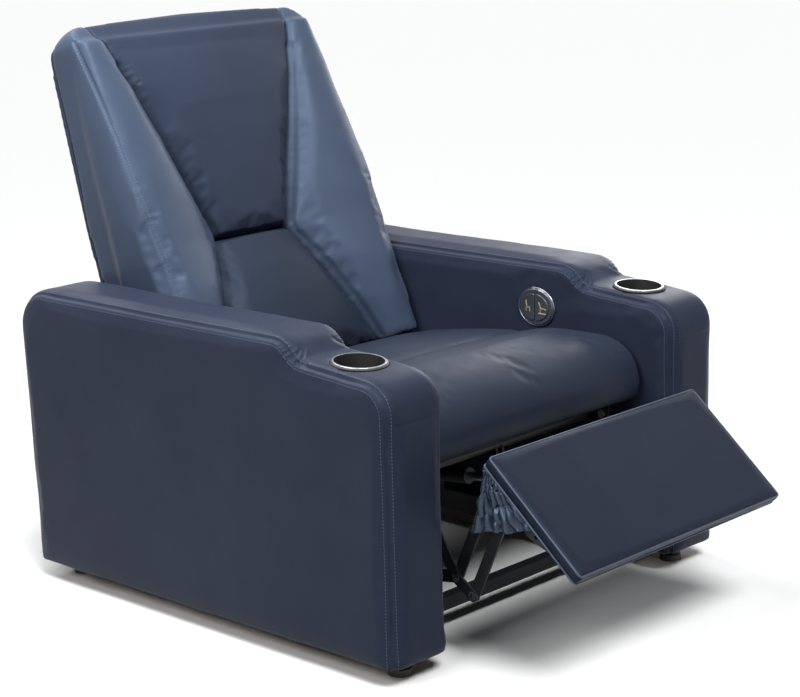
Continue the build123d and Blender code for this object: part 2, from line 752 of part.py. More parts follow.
def under_foot(point):
    """How far a (y, z) point lies under the top of the footrest."""
    lean = math.radians(FOOT_ANGLE)
    return (point[0] - FOOT_EDGE[0]) * math.sin(lean) - (point[1] - FOOT_EDGE[1]) * math.cos(lean)


def footrest_brackets():
    """Angle irons under the board: a flange on the board and a web with both pivots."""
    web = under_foot(CARRY_UPPER)
    outline = Polygon(foot_point(BRACKET_START, FOOT_BACK), foot_point(BRACKET_END, FOOT_BACK),
                      foot_point(BRACKET_END, FOOT_BACK + LINK_R),
                      foot_point(BRACKET_END - BRACKET_TAPER, web), foot_point(BRACKET_START, web),
                      align=None)
    outline += bar_sketch([CARRY_UPPER, CARRY_LOWER], LINK_R)
    outline -= holes_sketch([CARRY_UPPER, CARRY_LOWER], PIN_R + RUN_CLEAR)
    for along in (0.55, 0.75):
        centre = foot_point(BRACKET_END * along, (FOOT_BACK + web) / 2)
        outline -= Pos(*centre) * Circle(LIGHTENING * 0.7)
    bracket = plate_from(outline, OUTER_LINK_X)
    bracket += foot_box(OUTER_LINK_X - BRACKET_FLANGE, OUTER_LINK_X + PLATE, BRACKET_START, BRACKET_END,
                        FOOT_BACK, FOOT_BACK + BRACKET_FLANGE_T)
    return pair(bracket)


def pleat_section(ends):
    """Zigzag of the gathered cloth along a straight line under the footrest."""
    start = foot_point(ends[0][0], FOOT_BACK + ends[0][1])
    end = foot_point(ends[1][0], FOOT_BACK + ends[1][1])
    run = math.hypot(end[0] - start[0], end[1] - start[1])
    near = []
    far = []
    steps = 2 * GUSSET_PLEATS
    for index in range(steps + 1):
        share = index / steps
        x = GUSSET_X + GUSSET_DEPTH * (1 if index % 2 else -1) / 2
        near.append((x - GUSSET_T / 2, run * share))
        far.append((x + GUSSET_T / 2, run * share))
    outline = Polygon(*near, *reversed(far), align=None)
    turn = math.atan2(end[1] - start[1], end[0] - start[0])
    plane = Plane(origin=(0, *start), x_dir=(1, 0, 0), z_dir=(0, -math.sin(turn), math.cos(turn)))
    return plane * outline


def footrest_gusset():
    """Pleats fan out from the rear corner of the footrest down to the hem."""
    top = pleat_section(((FOOT_BOARD_INSET, GUSSET_SEWN), (GUSSET_TOP_REACH, GUSSET_SEWN)))
    hem = pleat_section((GUSSET_HEM_LOW, (GUSSET_HEM_REACH, GUSSET_SEWN)))
    return loft([top, hem], ruled=True)


# --------------------------------------------------------------- footrest drive
def turn_about(point, angle, centre):
    a = math.radians(angle)
    dy = point[0] - centre[0]
    dz = point[1] - centre[1]
    return (centre[0] + dy * math.cos(a) - dz * math.sin(a), centre[1] + dy * math.sin(a) + dz * math.cos(a))


def crank_pin_centre():
    """The crank stands square to the rod in the middle of the travel."""
    middle_travel = (FOOT_LOW + FOOT_HIGH) / 2
    straight_down = (PIVOT_REAR[0], PIVOT_REAR[1] - CRANK_R)
    return turn_about(straight_down, -DRIVE_SLOPE + middle_travel, PIVOT_REAR)


def eye_rise():
    """How far the crank pin climbs in the slotted eye towards each end."""
    half_travel = math.radians((FOOT_HIGH - FOOT_LOW) / 2)
    return CRANK_R * (1 - math.cos(half_travel))


def drive_plane():
    """Origin on the rod's axis beside the crank pin, local X running to the rear."""
    pin = crank_pin_centre()
    lean = math.radians(DRIVE_SLOPE)
    middle = math.radians((FOOT_LOW + FOOT_HIGH) / 2)
    climb = CRANK_R * (1 - math.cos(middle))
    y = pin[0] - climb * math.sin(lean)
    z = pin[1] - climb * math.cos(lean)
    return Plane(origin=(0, y, z), x_dir=(0, math.cos(lean), -math.sin(lean)), z_dir=(1, 0, 0))


def torque_tube():
    length = 2 * OUTER_LINK_X
    tube = x_pin(PIVOT_REAR, -length / 2, length / 2, TORQUE_TUBE_R)
    inner = EYE_T / 2 + CHEEK_GAP
    cheek = bar_sketch([PIVOT_REAR, crank_pin_centre()], DRIVE_PIN_R + 6)
    for x in (inner, -inner - CRANK_T):
        tube += plate_from(cheek, x, CRANK_T)
    tube += x_pin(crank_pin_centre(), -inner - CRANK_T, inner + CRANK_T, DRIVE_PIN_R)
    tube -= x_pin(PIVOT_REAR, -length, length, TORQUE_TUBE_R - TORQUE_TUBE_WALL)
    return tube


def drive_rod():
    slot_w = 2 * (DRIVE_PIN_R + DRIVE_SLIP)
    slot_h = eye_rise() + slot_w
    width = slot_w + 2 * EYE_WALL
    height = slot_h + 2 * EYE_WALL
    eye = Pos(0, eye_rise() / 2) * RectangleRounded(width, height, EYE_WALL)
    eye -= Pos(0, eye_rise() / 2) * Rot(0, 0, 90) * SlotOverall(slot_h, slot_w)
    plane = drive_plane()
    rod = plane * Pos(0, 0, -EYE_T / 2) * extrude(eye, EYE_T)
    start = width / 2 - 2
    length = ROD_SHOWN + ROD_HELD - start
    rod += plane * Pos(start + length / 2, 0, 0) * Rot(0, 90, 0) * Cylinder(ROD_R - RUN_CLEAR, length)
    return rod


def drive_motor():
    plane = drive_plane()
    tube = Pos(ROD_SHOWN + DRIVE_TUBE_LENGTH / 2, 0, 0) * Rot(0, 90, 0) * Cylinder(DRIVE_TUBE_R, DRIVE_TUBE_LENGTH)
    tube -= Pos(ROD_SHOWN + DRIVE_TUBE_LENGTH / 2 - 20, 0, 0) * Rot(0, 90, 0) * Cylinder(
        ROD_R, DRIVE_TUBE_LENGTH)
    box_at = ROD_SHOWN + DRIVE_TUBE_LENGTH + GEARBOX / 2 - 10
    gearbox = Pos(box_at, 0, 0) * Box(GEARBOX, GEARBOX, GEARBOX)
    gearbox = fillet(gearbox.edges().filter_by(Axis.X), 8)
    motor = Pos(box_at, 0, GEARBOX / 2 + MOTOR_LENGTH / 2) * Cylinder(MOTOR_R, MOTOR_LENGTH)
    motor = fillet(motor.edges().sort_by(Axis.Z)[-1], 5)
    return plane * (tube + gearbox + motor)


def drive_bracket():
    """Strap from the rear seat rail down behind the gearbox."""
    along = ROD_SHOWN + DRIVE_TUBE_LENGTH + GEARBOX - 10
    start = drive_plane().origin
    y = start.Y + along * math.cos(math.radians(DRIVE_SLOPE))
    z = start.Z - along * math.sin(math.radians(DRIVE_SLOPE))
    rail_y = FRAME_REAR_Y - FRAME_RAIL / 2
    strap = plate_from(bar_sketch([(y, z), (rail_y, deck_low(rail_y))], 8), -GEARBOX / 2, GEARBOX)
    strap -= sloped_bar(0, SEAT_REAR_Y + FRAME_RAIL, -GEARBOX, GEARBOX)
    return strap - drive_plane() * Pos(along - GEARBOX, 0, 0) * Box(2 * GEARBOX, GEARBOX, 2 * GEARBOX)


# --------------------------------------------------------------------- backrest
def back_point(up, out):
    lean = math.radians(BACK_LEAN)
    y = BACK_FOOT[0] + up * math.sin(lean) - out * math.cos(lean)
    z = BACK_FOOT[1] + up * math.cos(lean) + out * math.sin(lean)
    return (y, z)


def back_section(up):
    """Plane square to the back at this height; sketches are (x, -out)."""
    lean = math.radians(BACK_LEAN)
    return Plane(origin=(0, *back_point(up, 0)), x_dir=(1, 0, 0), z_dir=(0, math.sin(lean), math.cos(lean)))


def back_face(out):
    """Plane of the back at this depth; sketches are (x, up) and extrude forward."""
    lean = math.radians(BACK_LEAN)
    return Plane(origin=(0, *back_point(0, out)), x_dir=(1, 0, 0), z_dir=(0, -math.cos(lean), math.sin(lean)))


def back_slab(sketch, out, depth):
    """An (x, up) sketch made into a slab from this depth forward."""
    lean = math.radians(BACK_LEAN)
    return extrude(back_face(out) * sketch, depth, dir=(0, -math.cos(lean), math.sin(lean)))


def back_box(x0, x1, up0, up1, out0, out1):
    middle = Pos((x0 + x1) / 2, (up0 + up1) / 2, (out1 - out0) / 2)
    return back_face(out0) * middle * Box(x1 - x0, up1 - up0, out1 - out0)


def above_seat(shape):
    """Cuts the cushions level over the seat, and a little lower behind it."""
    behind = SEAT_REAR_Y + GROOVE
    shape -= box_between((-WIDTH, -WIDTH, 0), (WIDTH, behind, BACK_LOW_Z))
    return shape - box_between((-WIDTH, behind - 1, 0), (WIDTH, WIDTH, BACK_TAIL_Z))


def share_up(up):
    """0 at the seat, 1 under the crown."""
    return (up - BACK_START) / (CROWN_LOW - BACK_START)


def back_half(up):
    """Half the width: narrow between the arms, full above them."""
    return ARM_X - BACK_WAIST * max(0, 1 - 2 * share_up(up))


def wing_out(up):
    share = share_up(up)
    return WING_LOW_OUT + (WING_TOP_OUT - WING_LOW_OUT) * share + 4 * WING_BOW * share * (1 - share)


def groove_half(up):
    """Half the distance between the two grooves: the lumbar pad, then the V."""
    if up < V_POINT:
        share = (V_POINT - up) / (V_POINT - BACK_START)
        return V_POINT_HALF + (LUMBAR_HALF - V_POINT_HALF) * share
    return V_POINT_HALF + (V_TOP_HALF - V_POINT_HALF) * (up - V_POINT) / (CROWN_LOW - V_POINT)


def groove_out(up):
    if up < V_POINT:
        share = (up - BACK_START) / (V_POINT - BACK_START)
        return LUMBAR_LOW_OUT - (LUMBAR_LOW_OUT - LUMBAR_TOP_OUT) * share ** 2
    share = (up - V_POINT) / (CROWN_LOW - V_POINT)
    return V_OUT - (V_OUT - V_TOP_OUT) * share ** 4


def heights(low, high, count):
    return [low + (high - low) * index / (count - 1) for index in range(count)]


def back_outline(low):
    """The back seen from the front, with an arched top."""
    half_low = back_half(low)
    half_top = ARM_X - GROOVE - 2
    side = (low + CROWN_LOW) / 2
    right = [(half_low, low), (ARM_X, side), (half_top, BACK_HEIGHT - BACK_ARCH)]
    left = [(-x, up) for x, up in reversed(right)]
    points = right + [(0, BACK_HEIGHT)] + left
    soft = 4 * BACK_CORNER
    radii = [0, soft, BACK_CORNER, 3 * soft, BACK_CORNER, soft, 0]
    return make_face(FilletPolyline(*points, radius=radii, close=True))


def crown_profile(low):
    """The crown seen from the side, rounded over the top, as (y, z)."""
    top = BACK_HEIGHT + 1
    front_low = wing_out(low) + HEAD_SWELL
    corners = [back_point(low, 0), back_point(low, front_low), back_point(top, CROWN_DEPTH - CROWN_ROUND),
               back_point(top, 0)]
    radii = [0, 0, CROWN_ROUND, CROWN_ROUND / 3]
    return make_face(FilletPolyline(*corners, radius=radii, close=True))


def wing_section(up):
    x0 = groove_half(up) + GROOVE / 2
    x1 = back_half(up) + SIDE_COVER
    start = (x0, -groove_out(up))
    end = (x1, -wing_out(up))
    middle = ((x0 + x1) / 2, -(groove_out(up) + wing_out(up)) / 2 - WING_SWELL)
    lines = [
        Line((x0, -PAD_BACK), start),
        ThreePointArc(start, middle, end),
        Line(end, (x1, -PAD_BACK)),
        Line((x1, -PAD_BACK), (x0, -PAD_BACK)),
    ]
    return back_section(up) * make_face(Curve() + lines)


def back_wing():
    top = CROWN_LOW - GROOVE
    ups = heights(BACK_START, V_POINT, 4) + heights(V_POINT, top, 5)[1:]
    wing = loft([wing_section(up) for up in ups], ruled=True)
    wing &= back_slab(offset(back_outline(0), -SIDE_COVER, kind=Kind.INTERSECTION), PAD_BACK, BACK_REACH)
    slot = plate_from(back_bracket_sketch(RECLINE_BOSS + 2), SWING_X - 0.5, PLATE + 1)
    return above_seat(wing) - slot


def centre_section(up, swell):
    x = groove_half(up) - GROOVE / 2
    out = groove_out(up)
    lines = [
        Line((-x, -PAD_BACK), (-x, -out)),
        ThreePointArc((-x, -out), (0, -out - swell), (x, -out)),
        Line((x, -out), (x, -PAD_BACK)),
        Line((x, -PAD_BACK), (-x, -PAD_BACK)),
    ]
    return back_section(up) * make_face(Curve() + lines)


def back_lumbar():
    ups = heights(BACK_START, V_POINT - GROOVE, 5)
    return above_seat(loft([centre_section(up, LUMBAR_SWELL) for up in ups], ruled=True))


def back_head():
    """The V panel and the crown that runs on from it over the full width."""
    panel = loft([centre_section(up, HEAD_SWELL) for up in heights(V_POINT, CROWN_LOW, 5)], ruled=True)
    over = back_outline(0) & Pos(0, CROWN_LOW + WIDTH / 2) * Rectangle(WIDTH, WIDTH)
    crown = back_slab(over, BACK_COVER, BACK_REACH)
    crown &= plate_from(crown_profile(CROWN_LOW - CROWN_H), -WIDTH / 2, WIDTH)
    return panel + crown


def back_bracket_sketch(radius):
    middle = BACK_COVER + BACK_POST / 2
    bends = [back_point(BACK_FOOT_RAIL, middle), back_point(BACK_BRACKET_TOP, middle)]
    return bar_sketch([RECLINE_PIVOT, *bends], radius)


def back_brackets():
    sketch = back_bracket_sketch(RECLINE_BOSS) - Pos(*RECLINE_PIVOT) * Circle(PIN_R + RUN_CLEAR)
    return pair(plate_from(sketch, SWING_X))


def back_posts():
    low = BACK_FOOT_RAIL - BACK_POST / 2
    post = back_box(SWING_X - BACK_POST_W, SWING_X, low, CROWN_LOW - GROOVE, BACK_COVER, PAD_BACK)
    return pair(post)


def back_rails():
    half = SWING_X - BACK_POST_W
    rails = []
    for up in (BACK_FOOT_RAIL, V_POINT, CROWN_LOW - GROOVE - BACK_RAIL / 2):
        rails.append(back_box(-half, half, up - BACK_RAIL / 2, up + BACK_RAIL / 2, BACK_COVER, PAD_BACK))
    return group(rails)


def back_rear_panel():
    return back_slab(back_outline(20), 0, BACK_COVER)


def back_side_cover():
    """Side leather from the rear panel forward to the seam along the wing."""
    low = BACK_START
    high = CROWN_LOW - GROOVE
    ring = back_outline(0) - offset(back_outline(0), -SIDE_COVER, kind=Kind.INTERSECTION)
    ring &= Pos(ARM_X, (low + high) / 2) * Rectangle(ARM_X, high - low)
    cover = back_slab(ring, BACK_COVER, BACK_REACH)
    front = [back_point(up, wing_out(up) - SIDE_COVER / 2) for up in heights(low, high, 7)]
    profile = Polygon(*front, back_point(high, 0), back_point(low, 0), align=None)
    cover &= plate_from(profile, 0, WIDTH)
    return above_seat(cover)


# -------------------------------------------------------------------- write out
def save_both(shape, name):
    """A right-hand piece and its twin, as two files."""
    save(shape, f"{name}_right")
    save(mirrored(shape), f"{name}_left")


def write_arms():
    save_both(arm_boards(), "arm_frame")
    save_both(arm_band(), "arm_band")
    save_both(arm_panel(WIDTH / 2 - PANEL, True), "arm_outer_panel")
    save_both(cup_holder(), "cup_holder")
    inner = arm_panel(ARM_X, False)
    control_hole = plate_from(control_oval(CONTROL_BODY_INSET), ARM_X - 1, PANEL + 2)
    save(inner - control_hole, "arm_inner_panel_right")
    save(mirrored(inner), "arm_inner_panel_left")
    save(pair(cup_rim()), "cup_rims")
    save(control_housing(), "control_housing")
    save(control_button(-1), "button_front")
    save(control_button(1), "button_rear")


def write_base():
    save_both(base_rail(), "base_rail")
    save(group([cross_tube(CROSS_FRONT_Y), cross_tube(CROSS_REAR_Y)]), "base_cross_tubes")
    save(group([floor_foot(x, y) for x in (-1, 1) for y in (-1, 1)]), "floor_feet")
    save(glides(), "glides")
    save(rear_skirt(), "rear_skirt")
    save_both(swing_base_plate(), "swing_base_plate")
    save(swing_base_pins(), "swing_base_pins")
    save(power_inlet(), "power_inlet")
    save(swing_links(SWING_FRONT), "front_swing_links")
    save(swing_links(SWING_REAR), "rear_swing_links")


def write_seat():
    save_both(seat_side_plate(), "seat_side_plate")
    save(seat_frame(), "seat_frame")
    save(seat_webbing(), "seat_webbing")
    save(seat_pivot_pins(), "seat_pivot_pins")
    save(crowned(seat_profile, SEAT_HALF, SEAT_CROWN, SEAT_CROWN / 2), "seat_cushion")
    save(crowned(bolster_profile, SEAT_HALF, SEAT_CROWN, SEAT_CROWN / 2), "seat_bolster")


def write_footrest():
    save(rear_links(), "rear_links")
    save(front_links(), "front_links")
    save(upper_links(), "upper_links")
    save(lower_links(), "lower_links")
    save(link_pins([KNEE_REAR]), "rear_link_pins")
    save(link_pins([KNEE, KNEE_LOW]), "front_link_pins")
    save(link_pins([CARRY_UPPER]), "upper_link_pins")
    save(link_pins([CARRY_LOWER]), "lower_link_pins")
    save(torque_tube(), "torque_tube")
    save(footrest_brackets(), "footrest_brackets")
    save(footrest_board(), "footrest_board")
    save(footrest_pad(), "footrest_pad")
    save_both(footrest_gusset(), "footrest_gusset")
    save(drive_rod(), "drive_rod")
    save(drive_motor(), "drive_motor")
    save(drive_bracket(), "drive_bracket")


def write_back():
    save(back_brackets(), "back_brackets")
    save(back_posts(), "back_posts")
    save(back_rails(), "back_rails")
    save(back_rear_panel(), "back_rear_panel")
    save_both(back_side_cover(), "back_side_cover")
    save_both(back_wing(), "back_wing")
    save(back_head(), "back_head_cushion")
    save(back_lumbar(), "back_lumbar_cushion")


os.makedirs(OUT, exist_ok=True)
write_arms()
write_base()
write_seat()
write_footrest()
write_back()
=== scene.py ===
import math
import json

import bmesh
import bpy
import numpy as np
from mathutils import Matrix, Vector, noise
from mathutils.bvhtree import BVHTree
from mathutils.kdtree import KDTree


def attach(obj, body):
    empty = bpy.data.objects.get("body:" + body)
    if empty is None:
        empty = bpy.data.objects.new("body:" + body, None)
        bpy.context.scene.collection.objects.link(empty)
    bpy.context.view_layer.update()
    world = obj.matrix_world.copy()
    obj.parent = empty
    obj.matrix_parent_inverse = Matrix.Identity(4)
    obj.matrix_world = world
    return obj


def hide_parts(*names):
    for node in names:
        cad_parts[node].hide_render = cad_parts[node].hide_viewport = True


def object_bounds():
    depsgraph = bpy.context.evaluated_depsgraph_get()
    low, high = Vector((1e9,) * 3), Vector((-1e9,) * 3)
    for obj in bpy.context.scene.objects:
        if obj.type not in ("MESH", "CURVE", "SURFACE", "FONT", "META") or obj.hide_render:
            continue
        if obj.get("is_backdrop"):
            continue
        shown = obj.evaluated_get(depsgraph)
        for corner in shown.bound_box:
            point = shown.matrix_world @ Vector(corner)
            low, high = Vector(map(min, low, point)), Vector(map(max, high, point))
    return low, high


# The dressed cinema recliner. Metres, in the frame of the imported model: the seat faces -Y,
# +Z is up, and the origin is on the floor between the arms.

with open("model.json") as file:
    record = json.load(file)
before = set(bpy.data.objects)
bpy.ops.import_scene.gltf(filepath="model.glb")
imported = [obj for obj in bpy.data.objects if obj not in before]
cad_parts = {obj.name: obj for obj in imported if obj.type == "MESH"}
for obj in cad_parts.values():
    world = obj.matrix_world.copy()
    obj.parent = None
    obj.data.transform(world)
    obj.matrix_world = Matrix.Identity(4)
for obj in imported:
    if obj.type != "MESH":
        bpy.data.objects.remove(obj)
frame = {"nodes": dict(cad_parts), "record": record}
cad_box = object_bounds()
nodes = frame["nodes"]

# ---------------------------------------------------------------- sizes of the seat
ARM_IN = 0.324              # inner face of an arm
ARM_OUT = 0.476             # outer face of an arm
ARM_LOW = 0.034             # lower edge of an arm
PANEL = 0.012               # padded side panels of the arms
CUP = Vector((0.400, -0.362))   # middle of the right-hand cup, as (x, y)
BACK_FOOT = (0.375, 0.330)  # foot of the rear face of the back, as (y, z)
BACK_LEAN = math.radians(15)
BACK_START = 0.020          # heights up the back: its cushions start here
V_POINT = 0.299             # the lower end of the V, over the lumbar pad
CROWN_LOW = 0.735           # the V goes over into the crown
BACK_TOP = 0.775
V_POINT_HALF = 0.102        # half widths of the V at its lower end and below the crown
V_TOP_HALF = 0.256
LUMBAR_HALF = 0.222         # half width of the lumbar pad at its foot
CROWN_ROUND = 0.060         # radius of the crown, over to the rear
WING_SWELL = 0.0018         # how far out from its solids a wing starts, before it is filled
TUCK_Y = -0.182             # seam between the seat and its front roll
TUCK_Z = 0.462              # height of the leather there
FOOT_EDGE = (-0.566, 0.397)     # upper edge of the footrest's face, as (y, z)
FOOT_LEAN = math.radians(41.2)
FOOT_HALF = 0.300           # half its width
FOOT_LENGTH = 0.268
FOOT_THICK = 0.026
CONTROL = (-0.162, 0.500)   # (y, z) of the oval control on the right-hand arm
BUTTON_FACE = 0.3145        # outer face of its buttons, in x
HANDS = ((-1, "left"), (1, "right"))    # side of the seat, in x, and its name

# -------------------------------------------------------------------- camera
CAMERA_AZIMUTH = math.radians(-46.52)
CAMERA_HEIGHT = math.radians(13.21)
CAMERA_ROLL = math.radians(-1.59)
CAMERA_DISTANCE = 4.3429
CAMERA_SENSOR = 36.0        # millimetres
CAMERA_LENS = 97.04
CAMERA_TARGET = Vector((0.08517, 0.0, 0.43457))


def add_camera():
    """The camera that was fitted to the photo."""
    back = Vector((math.sin(CAMERA_AZIMUTH) * math.cos(CAMERA_HEIGHT),
                   -math.cos(CAMERA_AZIMUTH) * math.cos(CAMERA_HEIGHT),
                   math.sin(CAMERA_HEIGHT)))
    level = Vector((math.cos(CAMERA_AZIMUTH), math.sin(CAMERA_AZIMUTH), 0))
    upright = back.cross(level)
    right = level * math.cos(CAMERA_ROLL) + upright * math.sin(CAMERA_ROLL)
    up = upright * math.cos(CAMERA_ROLL) - level * math.sin(CAMERA_ROLL)
    data = bpy.data.cameras.new("photo_camera")
    data.sensor_fit = "HORIZONTAL"
    data.sensor_width = CAMERA_SENSOR
    data.lens = CAMERA_LENS
    camera = bpy.data.objects.new("photo_camera", data)
    bpy.context.scene.collection.objects.link(camera)
    turn = Matrix((right, up, back)).transposed().to_4x4()
    camera.matrix_world = Matrix.Translation(CAMERA_TARGET + back * CAMERA_DISTANCE) @ turn
    bpy.context.scene.camera = camera


# ----------------------------------------------------------------- materials
def new_material(name):
    material = bpy.data.materials.new(name)
    material.use_nodes = True
    tree = material.node_tree
    tree.nodes.clear()
    output = tree.nodes.new("ShaderNodeOutputMaterial")
    shader = tree.nodes.new("ShaderNodeBsdfPrincipled")
    tree.links.new(shader.outputs["BSDF"], output.inputs["Surface"])
    return material, tree, shader


def texture(tree, kind, scale, **values):
    """A texture on the object's own coordinates."""
    place = tree.nodes.get("place")
    if place is None:
        place = tree.nodes.new("ShaderNodeTexCoord")
        place.name = "place"
    node = tree.nodes.new(kind)
    tree.links.new(place.outputs["Object"], node.inputs["Vector"])
    node.inputs["Scale"].default_value = scale
    for key, value in values.items():
        if hasattr(node, key):
            setattr(node, key, value)
        else:
            node.inputs[key.replace("_", " ").title()].default_value = value
    return node


def ramp(tree, shader, entry, source, low, high, start=0.3, stop=0.7):
    """Gives a shader's entry two colours or two numbers, spread over a texture's range."""
    node = tree.nodes.new("ShaderNodeValToRGB")
    tree.links.new(source, node.inputs["Fac"])
    ends = node.color_ramp.elements
    ends[0].position = start
    ends[1].position = stop
    for end, value in zip(ends, (low, high)):
        colour = (value, value, value) if isinstance(value, float) else value
        end.color = (*colour, 1.0)
    tree.links.new(node.outputs["Color"], shader.inputs[entry])


def bump(tree, shader, source, strength, distance, below=None):
    node = tree.nodes.new("ShaderNodeBump")
    node.inputs["Strength"].default_value = strength
    node.inputs["Distance"].default_value = distance
    tree.links.new(source, node.inputs["Height"])
    if below is not None:
        tree.links.new(below, node.inputs["Normal"])
    tree.links.new(node.outputs["Normal"], shader.inputs["Normal"])
    return node.outputs["Normal"]


LEATHER_DRIFT = (0.90, 1.12)    # of the colour
LEATHER_RUB = (-0.03, 0.05)     # of the roughness
LEATHER_TINT = (0.58, 0.74, 1.0, 1.0)


def leather(name, colour, rough, shine):
    """Fine-grained leather: colour that drifts a little, pebble grain and fine creases."""
    material, tree, shader = new_material(name)
    drift = texture(tree, "ShaderNodeTexNoise", 5.0, Detail=5.0, Roughness=0.6)
    deep, pale = [tuple(c * drifted for c in colour) for drifted in LEATHER_DRIFT]
    ramp(tree, shader, "Base Color", drift.outputs["Fac"], deep, pale)
    rub = texture(tree, "ShaderNodeTexNoise", 22.0, Detail=6.0, Roughness=0.6)
    low, high = [rough + rubbed for rubbed in LEATHER_RUB]
    ramp(tree, shader, "Roughness", rub.outputs["Fac"], low, high)
    pebble = texture(tree, "ShaderNodeTexVoronoi", 640.0)
    crease = texture(tree, "ShaderNodeTexNoise", 190.0, Detail=6.0, Roughness=0.65)
    ripple = texture(tree, "ShaderNodeTexNoise", 16.0, Detail=3.0, Roughness=0.5)
    under = bump(tree, shader, ripple.outputs["Fac"], strength=0.10, distance=0.004)
    below = bump(tree, shader, crease.outputs["Fac"], strength=0.16, distance=0.0006, below=under)
    bump(tree, shader, pebble.outputs["Distance"], strength=0.20, distance=0.0004, below=below)
    shader.inputs["Specular IOR Level"].default_value = shine
    shader.inputs["Specular Tint"].default_value = LEATHER_TINT
    return material


def painted_steel():
    material, tree, shader = new_material("black_powder_coat")
    orange_peel = texture(tree, "ShaderNodeTexNoise", 900.0, Detail=3.0)
    dust = texture(tree, "ShaderNodeTexNoise", 18.0, Detail=6.0, Roughness=0.7)
    ramp(tree, shader, "Base Color", dust.outputs["Fac"], (0.007, 0.008, 0.010),
         (0.018, 0.020, 0.024))
    ramp(tree, shader, "Roughness", dust.outputs["Fac"], 0.36, 0.52)
    shader.inputs["Specular IOR Level"].default_value = 0.35
    bump(tree, shader, orange_peel.outputs["Fac"], strength=0.15, distance=0.0003)
    return material


def zinc():
    material, tree, shader = new_material("bright_zinc")
    brushed = texture(tree, "ShaderNodeTexNoise", 260.0, Detail=4.0)
    ramp(tree, shader, "Base Color", brushed.outputs["Fac"], (0.30, 0.31, 0.33), (0.52, 0.53, 0.55))
    ramp(tree, shader, "Roughness", brushed.outputs["Fac"], 0.24, 0.42)
    shader.inputs["Metallic"].default_value = 1.0
    bump(tree, shader, brushed.outputs["Fac"], strength=0.08, distance=0.0002)
    return material


def chrome():
    material, tree, shader = new_material("cup_chrome")
    haze = texture(tree, "ShaderNodeTexNoise", 60.0, Detail=5.0)
    ramp(tree, shader, "Base Color", haze.outputs["Fac"], (0.30, 0.32, 0.36), (0.46, 0.48, 0.53))
    ramp(tree, shader, "Roughness", haze.outputs["Fac"], 0.20, 0.32)
    shader.inputs["Metallic"].default_value = 1.0
    return material


def plastic(name, colour, low, high, coat):
    material, tree, shader = new_material(name)
    moulded = texture(tree, "ShaderNodeTexNoise", 520.0, Detail=3.0)
    cloud = texture(tree, "ShaderNodeTexNoise", 12.0, Detail=5.0)
    ramp(tree, shader, "Base Color", cloud.outputs["Fac"], colour, tuple(c * 1.5 for c in colour))
    ramp(tree, shader, "Roughness", cloud.outputs["Fac"], low, high)
    shader.inputs["Coat Weight"].default_value = coat
    shader.inputs["Coat Roughness"].default_value = 0.08
    bump(tree, shader, moulded.outputs["Fac"], strength=0.1 * (1.0 - coat), distance=0.0002)
    return material


def timber():
    material, tree, shader = new_material("plain_timber")
    ring = texture(tree, "ShaderNodeTexNoise", 9.0, Detail=7.0, Roughness=0.7, Distortion=1.6)
    fibre = texture(tree, "ShaderNodeTexNoise", 240.0, Detail=4.0)
    ramp(tree, shader, "Base Color", ring.outputs["Fac"], (0.33, 0.21, 0.11), (0.62, 0.45, 0.27),
         0.35, 0.65)
    ramp(tree, shader, "Roughness", fibre.outputs["Fac"], 0.5, 0.75)
    bump(tree, shader, fibre.outputs["Fac"], strength=0.25, distance=0.0004)
    return material


def woven(name, colour, scale):
    """Plain weave: two wave textures across each other."""
    material, tree, shader = new_material(name)
    warp = texture(tree, "ShaderNodeTexWave", scale, bands_direction="X")
    weft = texture(tree, "ShaderNodeTexWave", scale, bands_direction="Y")
    cross = tree.nodes.new("ShaderNodeMath")
    cross.operation = "MAXIMUM"
    tree.links.new(warp.outputs["Fac"], cross.inputs[0])
    tree.links.new(weft.outputs["Fac"], cross.inputs[1])
    gap = tuple(c * 0.5 for c in colour)
    ramp(tree, shader, "Base Color", cross.outputs["Value"], gap, colour, 0.2, 0.9)
    shader.inputs["Roughness"].default_value = 0.85
    bump(tree, shader, cross.outputs["Value"], strength=0.4, distance=0.0004)
    return material


def thread():
    material, tree, shader = new_material("seam_thread")
    twist = texture(tree, "ShaderNodeTexWave", 900.0, bands_direction="DIAGONAL")
    ramp(tree, shader, "Base Color", twist.outputs["Fac"], (0.07, 0.09, 0.13), (0.17, 0.21, 0.28))
    shader.inputs["Roughness"].default_value = 0.5
    bump(tree, shader, twist.outputs["Fac"], strength=0.3, distance=0.0002)
    return material


def gold():
    material, tree, shader = new_material("icon_gold")
    speck = texture(tree, "ShaderNodeTexNoise", 400.0, Detail=3.0)
    ramp(tree, shader, "Base Color", speck.outputs["Fac"], (0.62, 0.47, 0.24), (0.85, 0.70, 0.42))
    ramp(tree, shader, "Roughness", speck.outputs["Fac"], 0.3, 0.45)
    shader.inputs["Metallic"].default_value = 0.6
    return material


# ------------------------------------------------------------------- mesh helps
SAME_PLACE = 1e-6           # vertices nearer than this are one
FILL_FRAMES = 20
FILL_STRETCH = 24           # stiffness of the leather while it is filled
FILL_SHEAR = 12
FILL_BEND = 6.0
SEAM_STEP = 0.0015          # how finely a seam line is followed


def new_object(name, mesh):
    piece = bpy.data.objects.new(name, mesh)
    bpy.context.scene.collection.objects.link(piece)
    return piece


def from_bmesh(name, bm):
    mesh = bpy.data.meshes.new(name)
    bm.to_mesh(mesh)
    bm.free()
    return new_object(name, mesh)


def apply_modifiers(piece):
    graph = bpy.context.evaluated_depsgraph_get()
    mesh = bpy.data.meshes.new_from_object(piece.evaluated_get(graph))
    piece.modifiers.clear()
    old = piece.data
    piece.data = mesh
    bpy.data.meshes.remove(old)
    return piece


def shade_smooth(piece):
    for face in piece.data.polygons:
        face.use_smooth = True


def paint(piece, material):
    piece.data.materials.clear()
    piece.data.materials.append(material)


